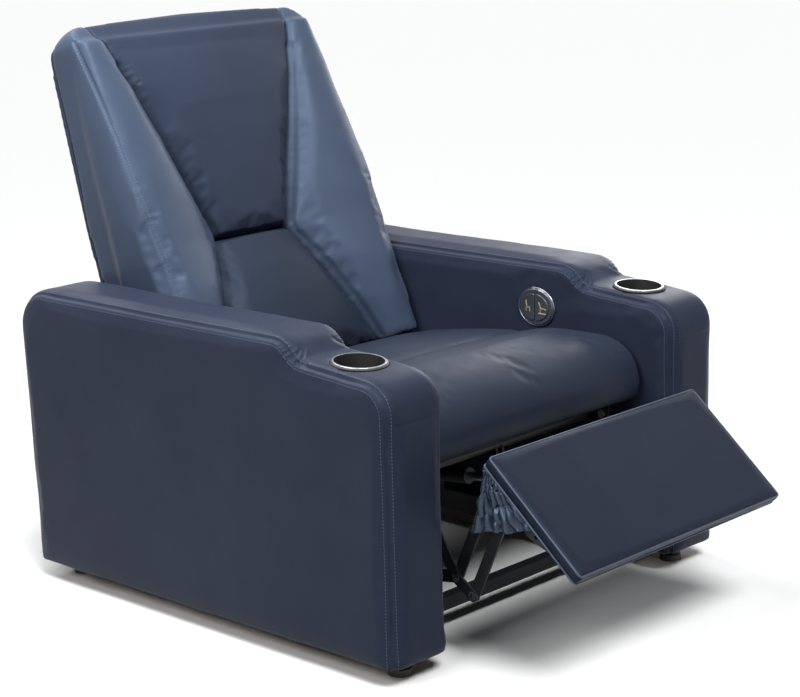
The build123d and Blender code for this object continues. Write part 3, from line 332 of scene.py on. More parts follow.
def from_nodes(name, joined, voxel, settle, keep=None):
    """A closed, even mesh of soft CAD solids that share one leather, to be filled and sewn."""
    return evened(name, solids_of(joined), voxel, settle, keep)


def solids_of(joined):
    """The solids of these nodes in one mesh, joined where they meet."""
    bm = bmesh.new()
    for node in joined:
        bm.from_mesh(nodes[node].data)
    bmesh.ops.remove_doubles(bm, verts=bm.verts, dist=SAME_PLACE)
    return bm


def evened(name, bm, voxel, settle, keep=None):
    """A closed mesh of even faces of this size, relaxed a few times."""
    piece = from_bmesh(name, bm)
    remesh = piece.modifiers.new("even", "REMESH")
    remesh.mode = "VOXEL"
    remesh.voxel_size = voxel
    apply_modifiers(piece)
    relax(piece, settle, keep)
    return piece


def relax(piece, times, keep=None):
    """Rounds the edges; keep(co) marks what stays sharp."""
    bm = bmesh.new()
    bm.from_mesh(piece.data)
    loose = [v for v in bm.verts if keep is None or not keep(v.co)]
    for _ in range(times):
        bmesh.ops.smooth_vert(bm, verts=loose, factor=0.5, use_axis_x=True, use_axis_y=True,
                              use_axis_z=True)
    bm.to_mesh(piece.data)
    bm.free()


def inflate(piece, pressure, cap, held=None):
    """Fills the pad with cloth pressure; held(co) marks what stays, and cap limits the rest."""
    rest = [v.co.copy() for v in piece.data.vertices]
    if held is not None:
        group = piece.vertex_groups.new(name="held")
        group.add([i for i, co in enumerate(rest) if held(co)], 1.0, "REPLACE")
    cloth = piece.modifiers.new("fill", "CLOTH")
    settings = cloth.settings
    settings.quality = 4
    settings.mass = 0.4
    settings.tension_stiffness = FILL_STRETCH
    settings.compression_stiffness = FILL_STRETCH
    settings.shear_stiffness = FILL_SHEAR
    settings.bending_stiffness = FILL_BEND
    settings.use_pressure = True
    settings.uniform_pressure_force = pressure
    settings.effector_weights.gravity = 0
    if held is not None:
        settings.vertex_group_mass = "held"
    cloth.point_cache.frame_start = 1
    cloth.point_cache.frame_end = FILL_FRAMES
    scene = bpy.context.scene
    for number in range(1, FILL_FRAMES + 1):
        scene.frame_set(number)
    graph = bpy.context.evaluated_depsgraph_get()
    moved = piece.evaluated_get(graph).data
    filled = []
    for before, vertex in zip(rest, moved.vertices):
        step = vertex.co - before
        if step.length > cap:
            step = step.normalized() * cap
        filled.append(before + step)
    piece.modifiers.clear()
    piece.vertex_groups.clear()
    for vertex, co in zip(piece.data.vertices, filled):
        vertex.co = co
    scene.frame_set(1)
    relax(piece, 1)


def refine(piece):
    """Cuts each face in four, on a smooth surface."""
    smooth = piece.modifiers.new("smooth", "SUBSURF")
    smooth.levels = 1
    apply_modifiers(piece)


def thin_out(piece, triangles):
    """Fewer faces where the surface is plain."""
    count = sum(len(p.vertices) - 2 for p in piece.data.polygons)
    if count > triangles:
        fewer = piece.modifiers.new("fewer", "DECIMATE")
        fewer.ratio = triangles / count
        apply_modifiers(piece)


def near_line(piece, path, reach):
    """(vertex, nearness 0 to 1, share of the way along) close to a line."""
    line = densify(path, SEAM_STEP)
    tree = KDTree(len(line))
    for index, point in enumerate(line):
        tree.insert(point, index)
    tree.balance()
    places = np.empty(len(piece.data.vertices) * 3)
    piece.data.vertices.foreach_get("co", places)
    places = places.reshape(-1, 3)
    corners = np.array([tuple(p) for p in line])
    inside = (places > corners.min(axis=0) - reach) & (places < corners.max(axis=0) + reach)
    for index in np.nonzero(inside.all(axis=1))[0]:
        _, spot, gap = tree.find(places[index])
        if gap < reach:
            yield int(index), 1 - gap / reach, spot / len(line)


def push(piece, amounts):
    """Moves vertices along their normals, all at once."""
    verts = piece.data.vertices
    moves = [(index, verts[index].normal * amount) for index, amount in amounts]
    for index, move in moves:
        verts[index].co += move


def sew(piece, path, depth, width):
    """Draws the leather in along a seam, in a soft V."""
    close = near_line(piece, path, width)
    push(piece, [(index, -depth * near * near * (3 - 2 * near)) for index, near, _ in close])


def gather(piece, path, height, reach, count):
    """Short puckers across a seam, unevenly spaced and fading out at its ends."""
    amounts = []
    for index, near, share in near_line(piece, path, reach):
        beat = math.sin(2 * math.pi * count * share + 1.7 * math.sin(9 * share))
        amounts.append((index, height * near * beat * math.sin(math.pi * share)))
    push(piece, amounts)


def wander(piece, height, scale, seed):
    """Slow swells and hollows, as leather has over foam."""
    offset = Vector((seed, 2 * seed, 3 * seed))
    push(piece, [(v.index, height * noise.noise(v.co * scale + offset))
                 for v in piece.data.vertices])


def surface_of(piece):
    bm = bmesh.new()
    bm.from_mesh(piece.data)
    tree = BVHTree.FromBMesh(bm)
    bm.free()
    return tree


def spaced(path, pitch):
    """Points along a path at an even pitch, with the direction there."""
    points = []
    left = 0.0
    for a, b in zip(path, path[1:]):
        run = b - a
        at = left
        while at < run.length:
            points.append((a + run * (at / run.length), run.normalized()))
            at += pitch
        left = at - run.length
    return points


def topstitch(name, surface, path, body, pitch=0.0062, length=0.0042,
              radius=0.0005):
    """Short threads along a line, laid on the leather."""
    shape = bmesh.new()
    bmesh.ops.create_icosphere(shape, subdivisions=1, radius=1.0)
    template = bpy.data.meshes.new("one_stitch")
    shape.to_mesh(template)
    shape.free()
    bm = bmesh.new()
    for point, along in spaced(path, pitch):
        spot, normal, _, _ = surface.find_nearest(point)
        if abs(normal.dot(along)) > 0.9:
            continue
        across = normal.cross(along).normalized()
        along = across.cross(normal)
        place = Matrix((along * length / 2, across * radius, normal * radius))
        place = place.transposed().to_4x4()
        place.translation = spot + normal * radius * 0.3
        before = len(bm.verts)
        bm.from_mesh(template)
        bm.verts.ensure_lookup_table()
        bmesh.ops.transform(bm, matrix=place, verts=bm.verts[before:])
    bpy.data.meshes.remove(template)
    piece = from_bmesh(name, bm)
    shade_smooth(piece)
    paint(piece, THREAD)
    dress(piece, body)


def welt(name, path, radius, material):
    """A round cord along a closed line, as in a welted seam."""
    data = bpy.data.curves.new(name, "CURVE")
    data.dimensions = "3D"
    data.bevel_depth = radius
    data.bevel_resolution = 3
    spline = data.splines.new("POLY")
    spline.points.add(len(path) - 1)
    for point, co in zip(spline.points, path):
        point.co = (*co, 1.0)
    spline.use_cyclic_u = True
    curve = new_object(name + "_line", data)
    graph = bpy.context.evaluated_depsgraph_get()
    mesh = bpy.data.meshes.new_from_object(curve.evaluated_get(graph))
    bpy.data.objects.remove(curve)
    piece = new_object(name, mesh)
    shade_smooth(piece)
    paint(piece, material)
    return piece


def rounded(corners, radii, step=0.006):
    """A polyline in (a, b) with its corners rounded."""
    points = []
    for index, corner in enumerate(corners):
        radius = radii[index]
        if radius == 0:
            points.append(Vector(corner))
            continue
        here = Vector(corner)
        before = (Vector(corners[index - 1]) - here).normalized()
        after = (Vector(corners[(index + 1) % len(corners)]) - here).normalized()
        half = before.angle(after) / 2
        reach = radius / math.tan(half)
        centre = here + (before + after).normalized() * (radius / math.sin(half))
        start = here + before * reach - centre
        turn = start.angle_signed(here + after * reach - centre)
        count = max(2, int(abs(turn) * radius / step))
        for k in range(count + 1):
            angle = -turn * k / count
            cos, sin = math.cos(angle), math.sin(angle)
            points.append(centre + Vector((start.x * cos - start.y * sin,
                                           start.x * sin + start.y * cos)))
    return points


# -------------------------------------------------------------------------- arms
ARM_CORNERS = [(-0.486, ARM_LOW), (-0.486, 0.533), (-0.272, 0.549), (-0.236, 0.586),
               (0.506, 0.586), (0.486, ARM_LOW)]    # outline from the side, as (y, z)
ARM_RADII = [0, 0.052, 0.054, 0.054, 0.072, 0]
ARM_HELD = 0.045                # below this height the leather stays on its boards
CUP_HELD = 0.066                # and this near to the middle of a cup, above CUP_LOW
CUP_LOW = 0.45
ARM_SEAM = (0.0034, 0.007)      # depth and width
STEP_FOLDS = (-0.315, -0.225)   # y where the leather gathers at the foot of the step
STEP_LOW = 0.5
STEP_FOOT = (-0.283, 0.552)     # (y, z) of its middle crease
STEP_CREASES = ((0.000, 0.034), (0.010, 0.026), (-0.009, 0.024))    # (shift, reach)
STEP_CREASE = (0.0035, 0.006)   # depth and width
FRONT_CREASE = (-0.497, 0.470)  # (y, z) of the faint crease across an arm's front
STITCH_NEAR = 0.0065            # from the seam line in to the stitches on the panel
STITCH_FAR = -0.004             # and out to those on the band
STITCH_BAND = 0.005             # from the seam to those stitches, across the band


def arm_line(x, inset):
    """The arm's seam line at this x, drawn in by inset."""
    flat = rounded(ARM_CORNERS, ARM_RADII)
    points = []
    for index, point in enumerate(flat):
        before = flat[max(index - 1, 0)]
        after = flat[min(index + 1, len(flat) - 1)]
        along = (after - before).normalized()
        points.append(Vector((x, point.x + along.y * inset, point.y - along.x * inset)))
    return points


def densify(path, step=0.02):
    points = [path[0]]
    for a, b in zip(path, path[1:]):
        count = max(1, int((b - a).length / step))
        for k in range(1, count + 1):
            points.append(a.lerp(b, k / count))
    return points


def by_cup(co):
    return math.hypot(abs(co.x) - CUP.x, co.y - CUP.y) < CUP_HELD and co.z > CUP_LOW


def make_arm(side, hand):
    """Band and side panels in one leather, drawn in along the two seams."""
    outer_seam = side * (ARM_OUT - PANEL)
    inner_seam = side * (ARM_IN + PANEL)
    parts = [f"arm_band_{hand}", f"arm_outer_panel_{hand}", f"arm_inner_panel_{hand}"]
    arm = from_nodes(f"arm_leather_{hand}", parts, voxel=0.006, settle=5, keep=by_cup)
    inflate(arm, pressure=1.2, cap=0.003, held=lambda co: co.z < ARM_HELD or by_cup(co))
    refine(arm)
    wander(arm, height=0.0024, scale=3.5, seed=8.3 + side)
    wander(arm, height=0.0008, scale=14.0, seed=2.1 + side)
    for seam in (outer_seam, inner_seam):
        line = arm_line(seam, 0.001)
        sew(arm, line, *ARM_SEAM)
        step = [p for p in line if STEP_FOLDS[0] < p.y < STEP_FOLDS[1] and p.z > STEP_LOW]
        gather(arm, step, height=0.0016, reach=0.020, count=7)
        for shift, reach in STEP_CREASES:
            start = Vector((seam, STEP_FOOT[0] + shift, STEP_FOOT[1]))
            inward = side if seam == inner_seam else -side
            end = start + Vector((inward * reach, reach * 0.55, reach * 0.9))
            sew(arm, [start, end], *STEP_CREASE)
    crease = [Vector((seam, *FRONT_CREASE)) for seam in (inner_seam, outer_seam)]
    sew(arm, crease, depth=0.0016, width=0.005)
    thin_out(arm, triangles=190000)
    finish_soft(arm, ARM_LEATHER, "base", parts)
    skin = surface_of(arm)
    lines = (("outer_near", side * ARM_OUT, STITCH_NEAR),
             ("outer_far", outer_seam - side * STITCH_BAND, STITCH_FAR),
             ("inner_near", side * ARM_IN, STITCH_NEAR),
             ("inner_far", inner_seam + side * STITCH_BAND, STITCH_FAR))
    for name, x, inset in lines:
        line = densify(arm_line(x, inset))
        topstitch(f"arm_stitch_{name}_{hand}", skin, line, "base")


def dress(piece, body):
    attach(piece, body)


def finish_soft(piece, material, body, replaced):
    shade_smooth(piece)
    paint(piece, material)
    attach(piece, body)
    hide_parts(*replaced)


# ------------------------------------------------------------------------- back
BACK_VOXEL = 0.0055
FRAME_TOP = 0.70                # above this the back's leather stays on its frame
WING_NARROW = 0.022             # how far a wing's edge draws in towards its foot
WING_OUT = 0.243                # how far it stands out from the rear face there,
WING_TAPER = 0.155              # how much less at the crown,
WING_BOW = 0.096                # and how much it bows out between
LUMBAR_OUT = 0.206              # the same of the seam at the foot of the lumbar pad,
LUMBAR_HOLLOW = 0.078           # how much less at the point of the V
V_OUT = 0.132                   # and of the V's seam at its point,
V_TAPER = 0.034                 # less at the crown
V_SEAM = (0.0055, 0.018)        # depths and widths of seams
LUMBAR_SEAM = (0.0042, 0.017)
POINT_SEAM = (0.004, 0.014)
WING_SEAM = (0.0030, 0.007)
SEAM_LOW = 0.03                 # heights that the seams run between
SEAM_HIGH = 0.672
CROWN_DROP = 0.012              # how much lower the crown is at its ends
# On the crown, as (up, out): the V's seam, and the stitches of the wings.
CROWN_LINE = [(0.700, 0.104), (0.722, 0.100), (0.742, 0.094), (0.758, 0.082),
              (0.768, 0.064), (0.764, 0.040)]
WING_TOP_LINE = [(0.742, 0.090), (0.758, 0.078), (0.764, 0.056), (0.758, 0.030)]
# Four puckers across the V's left seam, as (up, reach, depth).
V_PUCKERS = ((0.668, 0.026, 0.0050), (0.630, 0.017, 0.0036), (0.611, 0.014, 0.0032),
             (0.592, 0.009, 0.0022))


def back_point(x, up, out):
    """A place on the back: up along its rear face and out from it."""
    sin, cos = math.sin(BACK_LEAN), math.cos(BACK_LEAN)
    return Vector((x, BACK_FOOT[0] + up * sin - out * cos, BACK_FOOT[1] + up * cos + out * sin))


def back_place(co):
    """(up, out) of a point on the back."""
    y, z = co.y - BACK_FOOT[0], co.z - BACK_FOOT[1]
    sin, cos = math.sin(BACK_LEAN), math.cos(BACK_LEAN)
    return y * sin + z * cos, z * sin - y * cos


def wing_edge(side, up, inset):
    """Point on the outer front edge of a wing."""
    share = (up - BACK_START) / (CROWN_LOW - BACK_START)
    half = ARM_IN - WING_NARROW * max(0.0, 1 - 2 * share)
    out = WING_OUT - WING_TAPER * share + WING_BOW * share * (1 - share)
    return back_point(side * (half - inset), up, out)


def v_edge(side, up):
    """Point on the seam between a wing and the V, or the lumbar pad below its point."""
    if up < V_POINT:
        share = (V_POINT - up) / (V_POINT - BACK_START)
        out = LUMBAR_OUT - LUMBAR_HOLLOW * (1 - share) ** 2
        return back_point(side * (V_POINT_HALF + (LUMBAR_HALF - V_POINT_HALF) * share), up, out)
    share = (up - V_POINT) / (CROWN_LOW - V_POINT)
    half = V_POINT_HALF + (V_TOP_HALF - V_POINT_HALF) * share
    return back_point(side * half, up, V_OUT - V_TAPER * share ** 4)


def evenly(low, high, count=12):
    return [low + (high - low) * k / (count - 1) for k in range(count)]


def cut_by_seam(bm, side, outer):
    """Cuts the crown where the V's seam runs on over it, and closes the cut."""
    foot = v_edge(side, V_POINT) + Vector((side * 0.0012, 0, 0))
    upward = back_point(0, 1, 0) - back_point(0, 0, 0)
    rise = CROWN_LOW - V_POINT
    spread = V_TOP_HALF - V_POINT_HALF
    across = (Vector((side * rise, 0, 0)) - upward * spread).normalized()
    whole = bm.verts[:] + bm.edges[:] + bm.faces[:]
    cut = bmesh.ops.bisect_plane(bm, geom=whole, plane_co=foot, plane_no=across,
                                 clear_inner=outer, clear_outer=not outer)
    rim = [item for item in cut["geom_cut"] if isinstance(item, bmesh.types.BMEdge)]
    bmesh.ops.edgeloop_fill(bm, edges=rim)


def draw_back(piece):
    """Rounds the top of the back towards its rear, as the leather is drawn over the foam."""
    for vertex in piece.data.vertices:
        up, out = back_place(vertex.co)
        start = BACK_TOP - CROWN_DROP * (vertex.co.x / ARM_IN) ** 2 - CROWN_ROUND
        rise, back = up - start, CROWN_ROUND - out
        if rise > 0 and back > 0:
            high, deep = min(1.0, rise / CROWN_ROUND), min(1.0, back / CROWN_ROUND)
            up = start + rise * math.sqrt(1 - deep * deep / 2)
            out = CROWN_ROUND - back * math.sqrt(1 - high * high / 2)
            vertex.co = back_point(vertex.co.x, up, out)


def on_frame(depth):
    """Marks the part of a back cushion that is stapled to the frame."""
    return lambda co: back_place(co)[1] < depth or back_place(co)[0] > FRAME_TOP


def crown_seam(side, shift):
    """The V's seam where it runs on over the crown, moved sideways by shift."""
    slope = (V_TOP_HALF - V_POINT_HALF) / (CROWN_LOW - V_POINT)
    middle = V_TOP_HALF - slope * CROWN_LOW + shift
    return [back_point(side * (middle + slope * up), up, out) for up, out in CROWN_LINE]


def make_head():
    """The V and the crown in one leather."""
    bm = solids_of(["back_head_cushion"])
    for side in (-1, 1):
        cut_by_seam(bm, side, False)
    head = evened("head_leather", bm, voxel=BACK_VOXEL, settle=2)
    inflate(head, pressure=2.4, cap=0.009, held=on_frame(0.062))
    draw_back(head)
    refine(head)
    wander(head, height=0.0016, scale=5.0, seed=1.7)
    for side in (-1, 1):
        sew(head, [v_edge(side, up) for up in evenly(0.30, SEAM_HIGH)], *V_SEAM)
        strong = [v_edge(side, up) for up in evenly(0.58 if side < 0 else 0.64, 0.685)]
        gather(head, strong, height=0.0011 if side < 0 else 0.0006, reach=0.026, count=5)
    sew(head, [v_edge(-1, V_POINT), v_edge(1, V_POINT)], *POINT_SEAM)
    for up, reach, depth in V_PUCKERS:
        start = v_edge(-1, up)
        sew(head, [start, start + Vector((reach, -0.003, 0.45 * reach))], depth, 0.007)
    thin_out(head, triangles=170000)
    finish_soft(head, BACK_LEATHER_PAINTED_LIGHT, "back", ["back_head_cushion"])


def make_lumbar():
    lumbar = from_nodes("lumbar_leather", ["back_lumbar_cushion"], voxel=BACK_VOXEL, settle=2)
    inflate(lumbar, pressure=2.4, cap=0.010, held=on_frame(0.07))
    refine(lumbar)
    wander(lumbar, height=0.0014, scale=6.0, seed=4.2)
    for side in (-1, 1):
        sew(lumbar, [v_edge(side, up) for up in evenly(SEAM_LOW, 0.298)], *LUMBAR_SEAM)
    sew(lumbar, [v_edge(-1, V_POINT), v_edge(1, V_POINT)], *POINT_SEAM)
    thin_out(lumbar, triangles=110000)
    finish_soft(lumbar, SEAT_LEATHER_PAINTED_SHADE, "back", ["back_lumbar_cushion"])


def make_wing(side, hand):
    """Wing, side cover and the crown's end in one leather, with the seam along the outer edge."""
    parts = [f"back_wing_{hand}", f"back_side_cover_{hand}"]
    bm = solids_of(["back_head_cushion"])
    cut_by_seam(bm, side, True)
    for node in parts:
        bm.from_mesh(nodes[node].data)
    bmesh.ops.remove_doubles(bm, verts=bm.verts, dist=SAME_PLACE)
    bm.normal_update()
    for vertex in bm.verts:
        vertex.co += vertex.normal * WING_SWELL
    wing = evened(f"wing_leather_{hand}", bm, voxel=BACK_VOXEL, settle=5)
    inflate(wing, pressure=2.2, cap=0.008, held=on_frame(0.06))
    draw_back(wing)
    refine(wing)
    wander(wing, height=0.0015, scale=5.0, seed=2.4 + side)
    sew(wing, [wing_edge(side, up, 0.008) for up in evenly(SEAM_LOW, CROWN_LOW, 20)], *WING_SEAM)
    sew(wing, [v_edge(side, up) for up in evenly(SEAM_LOW, SEAM_HIGH, 24)], *V_SEAM)
    thin_out(wing, triangles=170000)
    finish_soft(wing, WING_LEATHER_PAINTED_LIGHT, "back", parts)
    skin = surface_of(wing)
    for name, inset in (("outer", 0.002), ("inner", 0.014)):
        line = [wing_edge(side, up, inset) for up in evenly(0.09, 0.728, 20)]
        line += [back_point(side * (ARM_IN - 0.008 - inset), up, out)
                 for up, out in WING_TOP_LINE]
        topstitch(f"wing_stitch_{name}_{hand}", skin, densify(line), "back")
    line = densify(crown_seam(side, 0.006))
    topstitch(f"crown_stitch_{hand}", skin, line, "back", pitch=0.005,
              length=0.0034, radius=0.0004)


def make_back():
    make_head()
    make_lumbar()
    for side, hand in HANDS:
        make_wing(side, hand)
    rear = from_nodes("back_rear_leather", ["back_rear_panel"], voxel=0.005, settle=3)
    draw_back(rear)
    wander(rear, height=0.0015, scale=4.0, seed=9.1)
    thin_out(rear, triangles=60000)
    finish_soft(rear, BACK_LEATHER_PAINTED_LIGHT, "back", ["back_rear_panel"])


def make_rear_skirt():
    skirt = from_nodes("rear_skirt_leather", ["rear_skirt"], voxel=0.004, settle=2)
    wander(skirt, height=0.001, scale=6.0, seed=5.1)
    finish_soft(skirt, ARM_LEATHER, "base", ["rear_skirt"])


# ------------------------------------------------------------------------- seat
SEAT_HELD = (0.163, 0.30)       # (y, z) on the plane below which its leather stays put,
SEAT_RISE = 0.148               # and how that plane rises to the front
TUCK = (0.0035, 0.034)          # depths and widths: the soft tuck all the way across,
TUCK_SHARP = (0.0065, 0.013)    # and the sharp part of it on the right
TUCK_CREASE = (0.0030, 0.006)


def make_seat():
    """Seat and front roll in one leather, tucked along the seam between them."""
    parts = ["seat_cushion", "seat_bolster"]
    seat = from_nodes("seat_leather_pad", parts, voxel=0.006, settle=5)
    inflate(seat, pressure=2.6, cap=0.012,
            held=lambda co: co.z < SEAT_HELD[1] + (SEAT_HELD[0] - co.y) * SEAT_RISE)
    refine(seat)
    wander(seat, height=0.0022, scale=4.5, seed=7.7)
    across = [Vector((x, TUCK_Y, TUCK_Z)) for x in evenly(-0.31, 0.31, 9)]
    sew(seat, across, *TUCK)
    tuck = [Vector((x, TUCK_Y + 0.012 - 0.10 * (x - 0.06), TUCK_Z))
            for x in evenly(0.055, 0.21, 6)]
    sew(seat, tuck, *TUCK_SHARP)
    gather(seat, tuck, height=0.0016, reach=0.032, count=6)
    for k in range(4):
        start = Vector((0.112 + 0.014 * k, TUCK_Y + 0.004, TUCK_Z))
        sew(seat, [start, start + Vector((0.030, 0.040 - 0.004 * k, 0.0))], *TUCK_CREASE)
    thin_out(seat, triangles=190000)
    finish_soft(seat, SEAT_LEATHER_PAINTED_SHADE, "seat", parts)


# --------------------------------------------------------------------- footrest
WELT_RADIUS = 0.0020
WELT_INSET = 0.0025             # of its middle from the sides of the footrest
WELT_CORNER = 0.007
WELT_DEPTHS = (("top", 0.0030), ("under", FOOT_THICK - 0.0035))


def foot_place(x, along, under):
    """A place on the footrest: along its face from the upper edge, and under that face."""
    sin, cos = math.sin(FOOT_LEAN), math.cos(FOOT_LEAN)
    return Vector((x, FOOT_EDGE[0] - along * cos + under * sin,
                   FOOT_EDGE[1] - along * sin - under * cos))


def make_footrest():
    """Pad and board in one leather, with a fine welt round the top and the bottom."""
    parts = ["footrest_pad", "footrest_board"]
    pad = from_nodes("footrest_leather_pad", parts, voxel=0.004, settle=2)
    inflate(pad, pressure=1.6, cap=0.003)
    refine(pad)
    wander(pad, height=0.0010, scale=7.0, seed=2.2)
    thin_out(pad, triangles=150000)
    finish_soft(pad, FOOT_LEATHER_PAINTED_SHADE, "footrest", parts)
    half, low, high = FOOT_HALF - WELT_INSET, WELT_INSET, FOOT_LENGTH - WELT_INSET
    corners = [(-half, low), (half, low), (half, high), (-half, high)]
    for name, under in WELT_DEPTHS:
        loop = [foot_place(p.x, p.y, under) for p in rounded(corners, [WELT_CORNER] * 4, 0.002)]
        # The welt's leather is painted much lighter than the pad's: a painted highlight along the
        # edges.
        cord = welt(f"footrest_welt_{name}", loop, WELT_RADIUS, WELT_LEATHER_PAINTED_HIGHLIGHT)
        dress(cord, "footrest")


def make_gussets():
    """Gathered leathercloth, crinkled between its pleats."""
    for side, hand in HANDS:
        node = f"footrest_gusset_{hand}"
        gusset = from_nodes(f"gusset_cloth_{hand}", [node], voxel=0.0013, settle=3)
        wander(gusset, height=0.0120, scale=19.0, seed=3.3 + side)
        wander(gusset, height=0.0065, scale=42.0, seed=5.1 + side)
        relax(gusset, 4)
        thin_out(gusset, triangles=60000)
        finish_soft(gusset, GUSSET_CLOTH, "footrest", [node])


# ---------------------------------------------------------------- icons and rim
ICON_RAISED = 0.0005            # thickness of the icons' strokes
RIM_HALF = (0.0462, 0.0392)     # half width and half height of the chrome rim
RIM_RADIUS = 0.0013             # of its cord
RIM_POINTS = 72


def bar(bm, start, end, width):
    """A thin raised stroke on a button, from (y, z) to (y, z)."""
    start, end = Vector(start), Vector(end)
    run = end - start
    made = bmesh.ops.create_cube(bm, size=1.0)["verts"]
    bmesh.ops.scale(bm, verts=made, vec=(ICON_RAISED, run.length + width, width))
    turn = Matrix.Rotation(math.atan2(run.y, run.x), 3, "X")
    bmesh.ops.rotate(bm, verts=made, cent=(0, 0, 0), matrix=turn)
    middle = (start + end) / 2
    bmesh.ops.translate(bm, verts=made, vec=(BUTTON_FACE - 0.0001, middle.x, middle.y))


def make_icon(name, body, y, raised):
    """A plain seat in profile; the second one has its footrest out and a line below."""
    bm = bmesh.new()
    z = CONTROL[1]
    back_top = (y + 0.0065, z + 0.010) if raised else (y + 0.003, z + 0.011)
    hip = (y + 0.001, z - 0.002)
    knee = (y - 0.006, z - 0.001)
    bar(bm, back_top, hip, 0.0030)
    bar(bm, hip, knee, 0.0030)
    bar(bm, knee, (y - 0.011, z - 0.002) if raised else (y - 0.0065, z - 0.009), 0.0024)
    bar(bm, (y + 0.003, z - 0.003), (y + 0.003, z - 0.008), 0.0022)
    if raised:
        bar(bm, (y - 0.011, z - 0.0115), (y + 0.007, z - 0.0115), 0.0020)
    bmesh.ops.bevel(bm, geom=bm.edges[:], offset=0.00015, affect="EDGES", segments=1,
                    profile=0.5, material=-1)
    icon = from_bmesh(name, bm)
    paint(icon, GOLD)
    dress(icon, body)


def make_control():
    """The icons on the two buttons and the rim round them."""
    make_icon("icon_upright", "button_rear", CONTROL[0] + 0.019, False)
    make_icon("icon_reclined", "button_front", CONTROL[0] - 0.018, True)
    loop = []
    for k in range(RIM_POINTS):
        turn = 2 * math.pi * k / RIM_POINTS
        loop.append(Vector((ARM_IN - 0.0030, CONTROL[0] + RIM_HALF[0] * math.cos(turn),
                            CONTROL[1] + RIM_HALF[1] * math.sin(turn))))
    dress(welt("control_rim", loop, RIM_RADIUS, CHROME), "base")


# ------------------------------------------------------------- hard CAD pieces
def dress_cad():
    """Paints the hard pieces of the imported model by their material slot."""
    looks = {
        "black_steel": STEEL, "zinc_pins": ZINC, "black_plastic": PLASTIC,
        "gloss_control": GLOSS_PAINTED_REFLECTION, "control_button": GLOSS_PAINTED_REFLECTION, "chrome_rim": CHROME,
        "timber": TIMBER, "webbing": WEBBING,
    }
    for row in frame["record"]["subparts"]:
        look = looks.get(row["material_slot"])
        if look is not None:
            paint(nodes[row["node"]], look)


# ------------------------------------------------------------- floor and light
FLOOR_SEEN = 0.94               # grey of the floor for the camera and in reflections
FLOOR_LIT = 0.15                # and for the light that it throws back
ROOM_COLOUR = (0.85, 0.92, 1.0)
ROOM_STRENGTH = 0.06
SUN_ANGLE = math.radians(24)
# name, direction to the sun, strength
SUNS = (("front_key", (-0.31, -1.01, 1.70), 2.8), ("rear_key", (0.12, 1.33, 1.49), 0.9))
# name, place, aim, watts, width, height
BOXES = (("over_back", (-0.5, 0.35, 1.95), (0.0, 0.2, 0.4), 13, 0.7, 0.7),
         ("over_arm", (-0.9, -0.3, 1.95), (0.0, 0.15, 0.5), 9, 0.8, 0.8),
         ("left_box", (-2.4, -0.4, 1.7), (0.0, 0.2, 0.7), 30, 1.4, 1.0),
         ("right_fill", (2.4, 0.7, 1.5), (0.3, 0.1, 0.5), 18, 1.4, 1.0))


def add_floor():
    bm = bmesh.new()
    bmesh.ops.create_grid(bm, x_segments=1, y_segments=1, size=60.0)
    floor = from_bmesh("studio_floor", bm)
    material, tree, shader = new_material("pale_floor")
    shader.inputs["Roughness"].default_value = 0.9
    shader.inputs["Specular IOR Level"].default_value = 0.0
    colour = tree.nodes.new("ShaderNodeMix")
    colour.data_type = "RGBA"
    colour.inputs["A"].default_value = (FLOOR_LIT, FLOOR_LIT, FLOOR_LIT, 1.0)
    colour.inputs["B"].default_value = (FLOOR_SEEN, FLOOR_SEEN, FLOOR_SEEN, 1.0)
    tree.links.new(seen_by(tree), colour.inputs["Factor"])
    tree.links.new(colour.outputs["Result"], shader.inputs["Base Color"])
    paint(floor, material)
    floor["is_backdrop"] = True


def add_lamp(name, kind, place, aim, power):
    data = bpy.data.lights.new(name, kind)
    data.energy = power
    lamp = bpy.data.objects.new(name, data)
    lamp.location = place
    lamp.rotation_euler = (Vector(aim) - Vector(place)).to_track_quat("-Z", "Y").to_euler()
    bpy.context.scene.collection.objects.link(lamp)
    return data


def seen_by(tree):
    """1 for rays from the camera and for reflected or transmitted ones, else 0."""
    rays = tree.nodes.new("ShaderNodeLightPath")
    seen = rays.outputs["Is Camera Ray"]
    for ray in ("Is Glossy Ray", "Is Transmission Ray"):
        either = tree.nodes.new("ShaderNodeMath")
        either.operation = "MAXIMUM"
        tree.links.new(seen, either.inputs[0])
        tree.links.new(rays.outputs[ray], either.inputs[1])
        seen = either.outputs["Value"]
    return seen


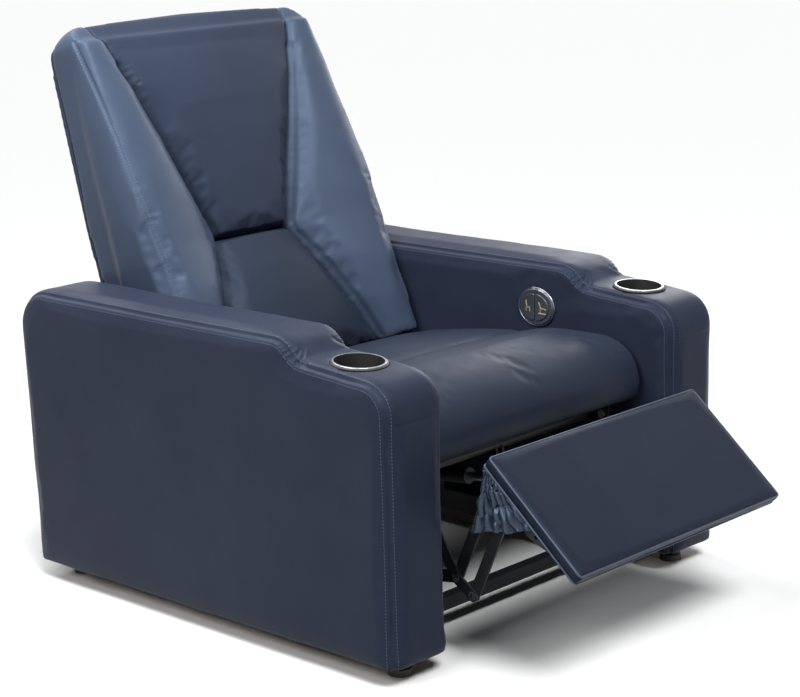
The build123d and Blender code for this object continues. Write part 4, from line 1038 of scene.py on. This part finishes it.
def add_lights():
    for name, place, power in SUNS:
        key = add_lamp(name, "SUN", place, (0.0, 0.0, 0.0), power)
        key.angle = SUN_ANGLE
    for name, place, aim, power, wide, high in BOXES:
        box = add_lamp(name, "AREA", place, aim, power)
        box.shape = "RECTANGLE"
        box.size = wide
        box.size_y = high
    world = bpy.data.worlds.new("studio")
    bpy.context.scene.world = world
    world.use_nodes = True
    tree = world.node_tree
    tree.nodes.clear()
    output = tree.nodes.new("ShaderNodeOutputWorld")
    room = tree.nodes.new("ShaderNodeBackground")
    room.inputs["Color"].default_value = (*ROOM_COLOUR, 1.0)
    room.inputs["Strength"].default_value = ROOM_STRENGTH
    white = tree.nodes.new("ShaderNodeBackground")
    white.inputs["Color"].default_value = (1.0, 1.0, 1.0, 1.0)
    white.inputs["Strength"].default_value = 1.0
    mix = tree.nodes.new("ShaderNodeMixShader")
    tree.links.new(seen_by(tree), mix.inputs["Fac"])
    tree.links.new(room.outputs["Background"], mix.inputs[1])
    tree.links.new(white.outputs["Background"], mix.inputs[2])
    tree.links.new(mix.outputs["Shader"], output.inputs["Surface"])


# ------------------------------------------------------------------------ build
add_camera()
ARM_LEATHER = leather("navy_arm_leather", (0.023, 0.029, 0.050), rough=0.42, shine=0.11)
# A little lighter than the arms' leather, set to how the back is lit: painted light.
BACK_LEATHER_PAINTED_LIGHT = leather("navy_back_leather_painted_light", (0.029, 0.038, 0.062), rough=0.41, shine=0.14)
# Lighter copy of the back's navy leather: painted light, standing in for the light that falls on
# the wings' sides.
WING_LEATHER_PAINTED_LIGHT = leather("navy_wing_leather_painted_light", (0.046, 0.063, 0.103), rough=0.38, shine=0.24)
# Darker copy of the navy leather for the seat, its roll and the lumbar pad: painted shade.
SEAT_LEATHER_PAINTED_SHADE = leather("navy_seat_leather_painted_shade", (0.021, 0.028, 0.045), rough=0.42, shine=0.11)
# Darkest copy of the navy leather, for the footrest: painted shade.
FOOT_LEATHER_PAINTED_SHADE = leather("navy_footrest_leather_painted_shade", (0.015, 0.020, 0.033), rough=0.40, shine=0.10)
# Much lighter than the footrest's leather: a painted highlight along the welted edges.
WELT_LEATHER_PAINTED_HIGHLIGHT = leather("navy_welt_leather_painted_highlight", (0.060, 0.075, 0.110), rough=0.36, shine=0.40)
GUSSET_CLOTH = leather("gusset_leathercloth", (0.022, 0.032, 0.052), rough=0.26, shine=0.60)
STEEL = painted_steel()
ZINC = zinc()
CHROME = chrome()
PLASTIC = plastic("black_plastic", (0.012, 0.012, 0.013), low=0.45, high=0.6, coat=0.0)
# Greyed face of the control and its buttons: a painted reflection on dark glass.
GLOSS_PAINTED_REFLECTION = plastic("gloss_control_painted_reflection_grey", (0.040, 0.046, 0.056), low=0.14, high=0.26, coat=0.6)
TIMBER = timber()
WEBBING = woven("strap_weave", (0.06, 0.06, 0.07), 180.0)
THREAD = thread()
GOLD = gold()

dress_cad()
for side, hand in HANDS:
    make_arm(side, hand)
make_back()
make_rear_skirt()
make_seat()
make_footrest()
make_gussets()
make_control()
add_floor()
add_lights()
bpy.context.scene.view_settings.view_transform = "Standard"

boxes = {"cad": cad_box, "visual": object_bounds()}
{key: [list(corner) for corner in box] for key, box in boxes.items()}
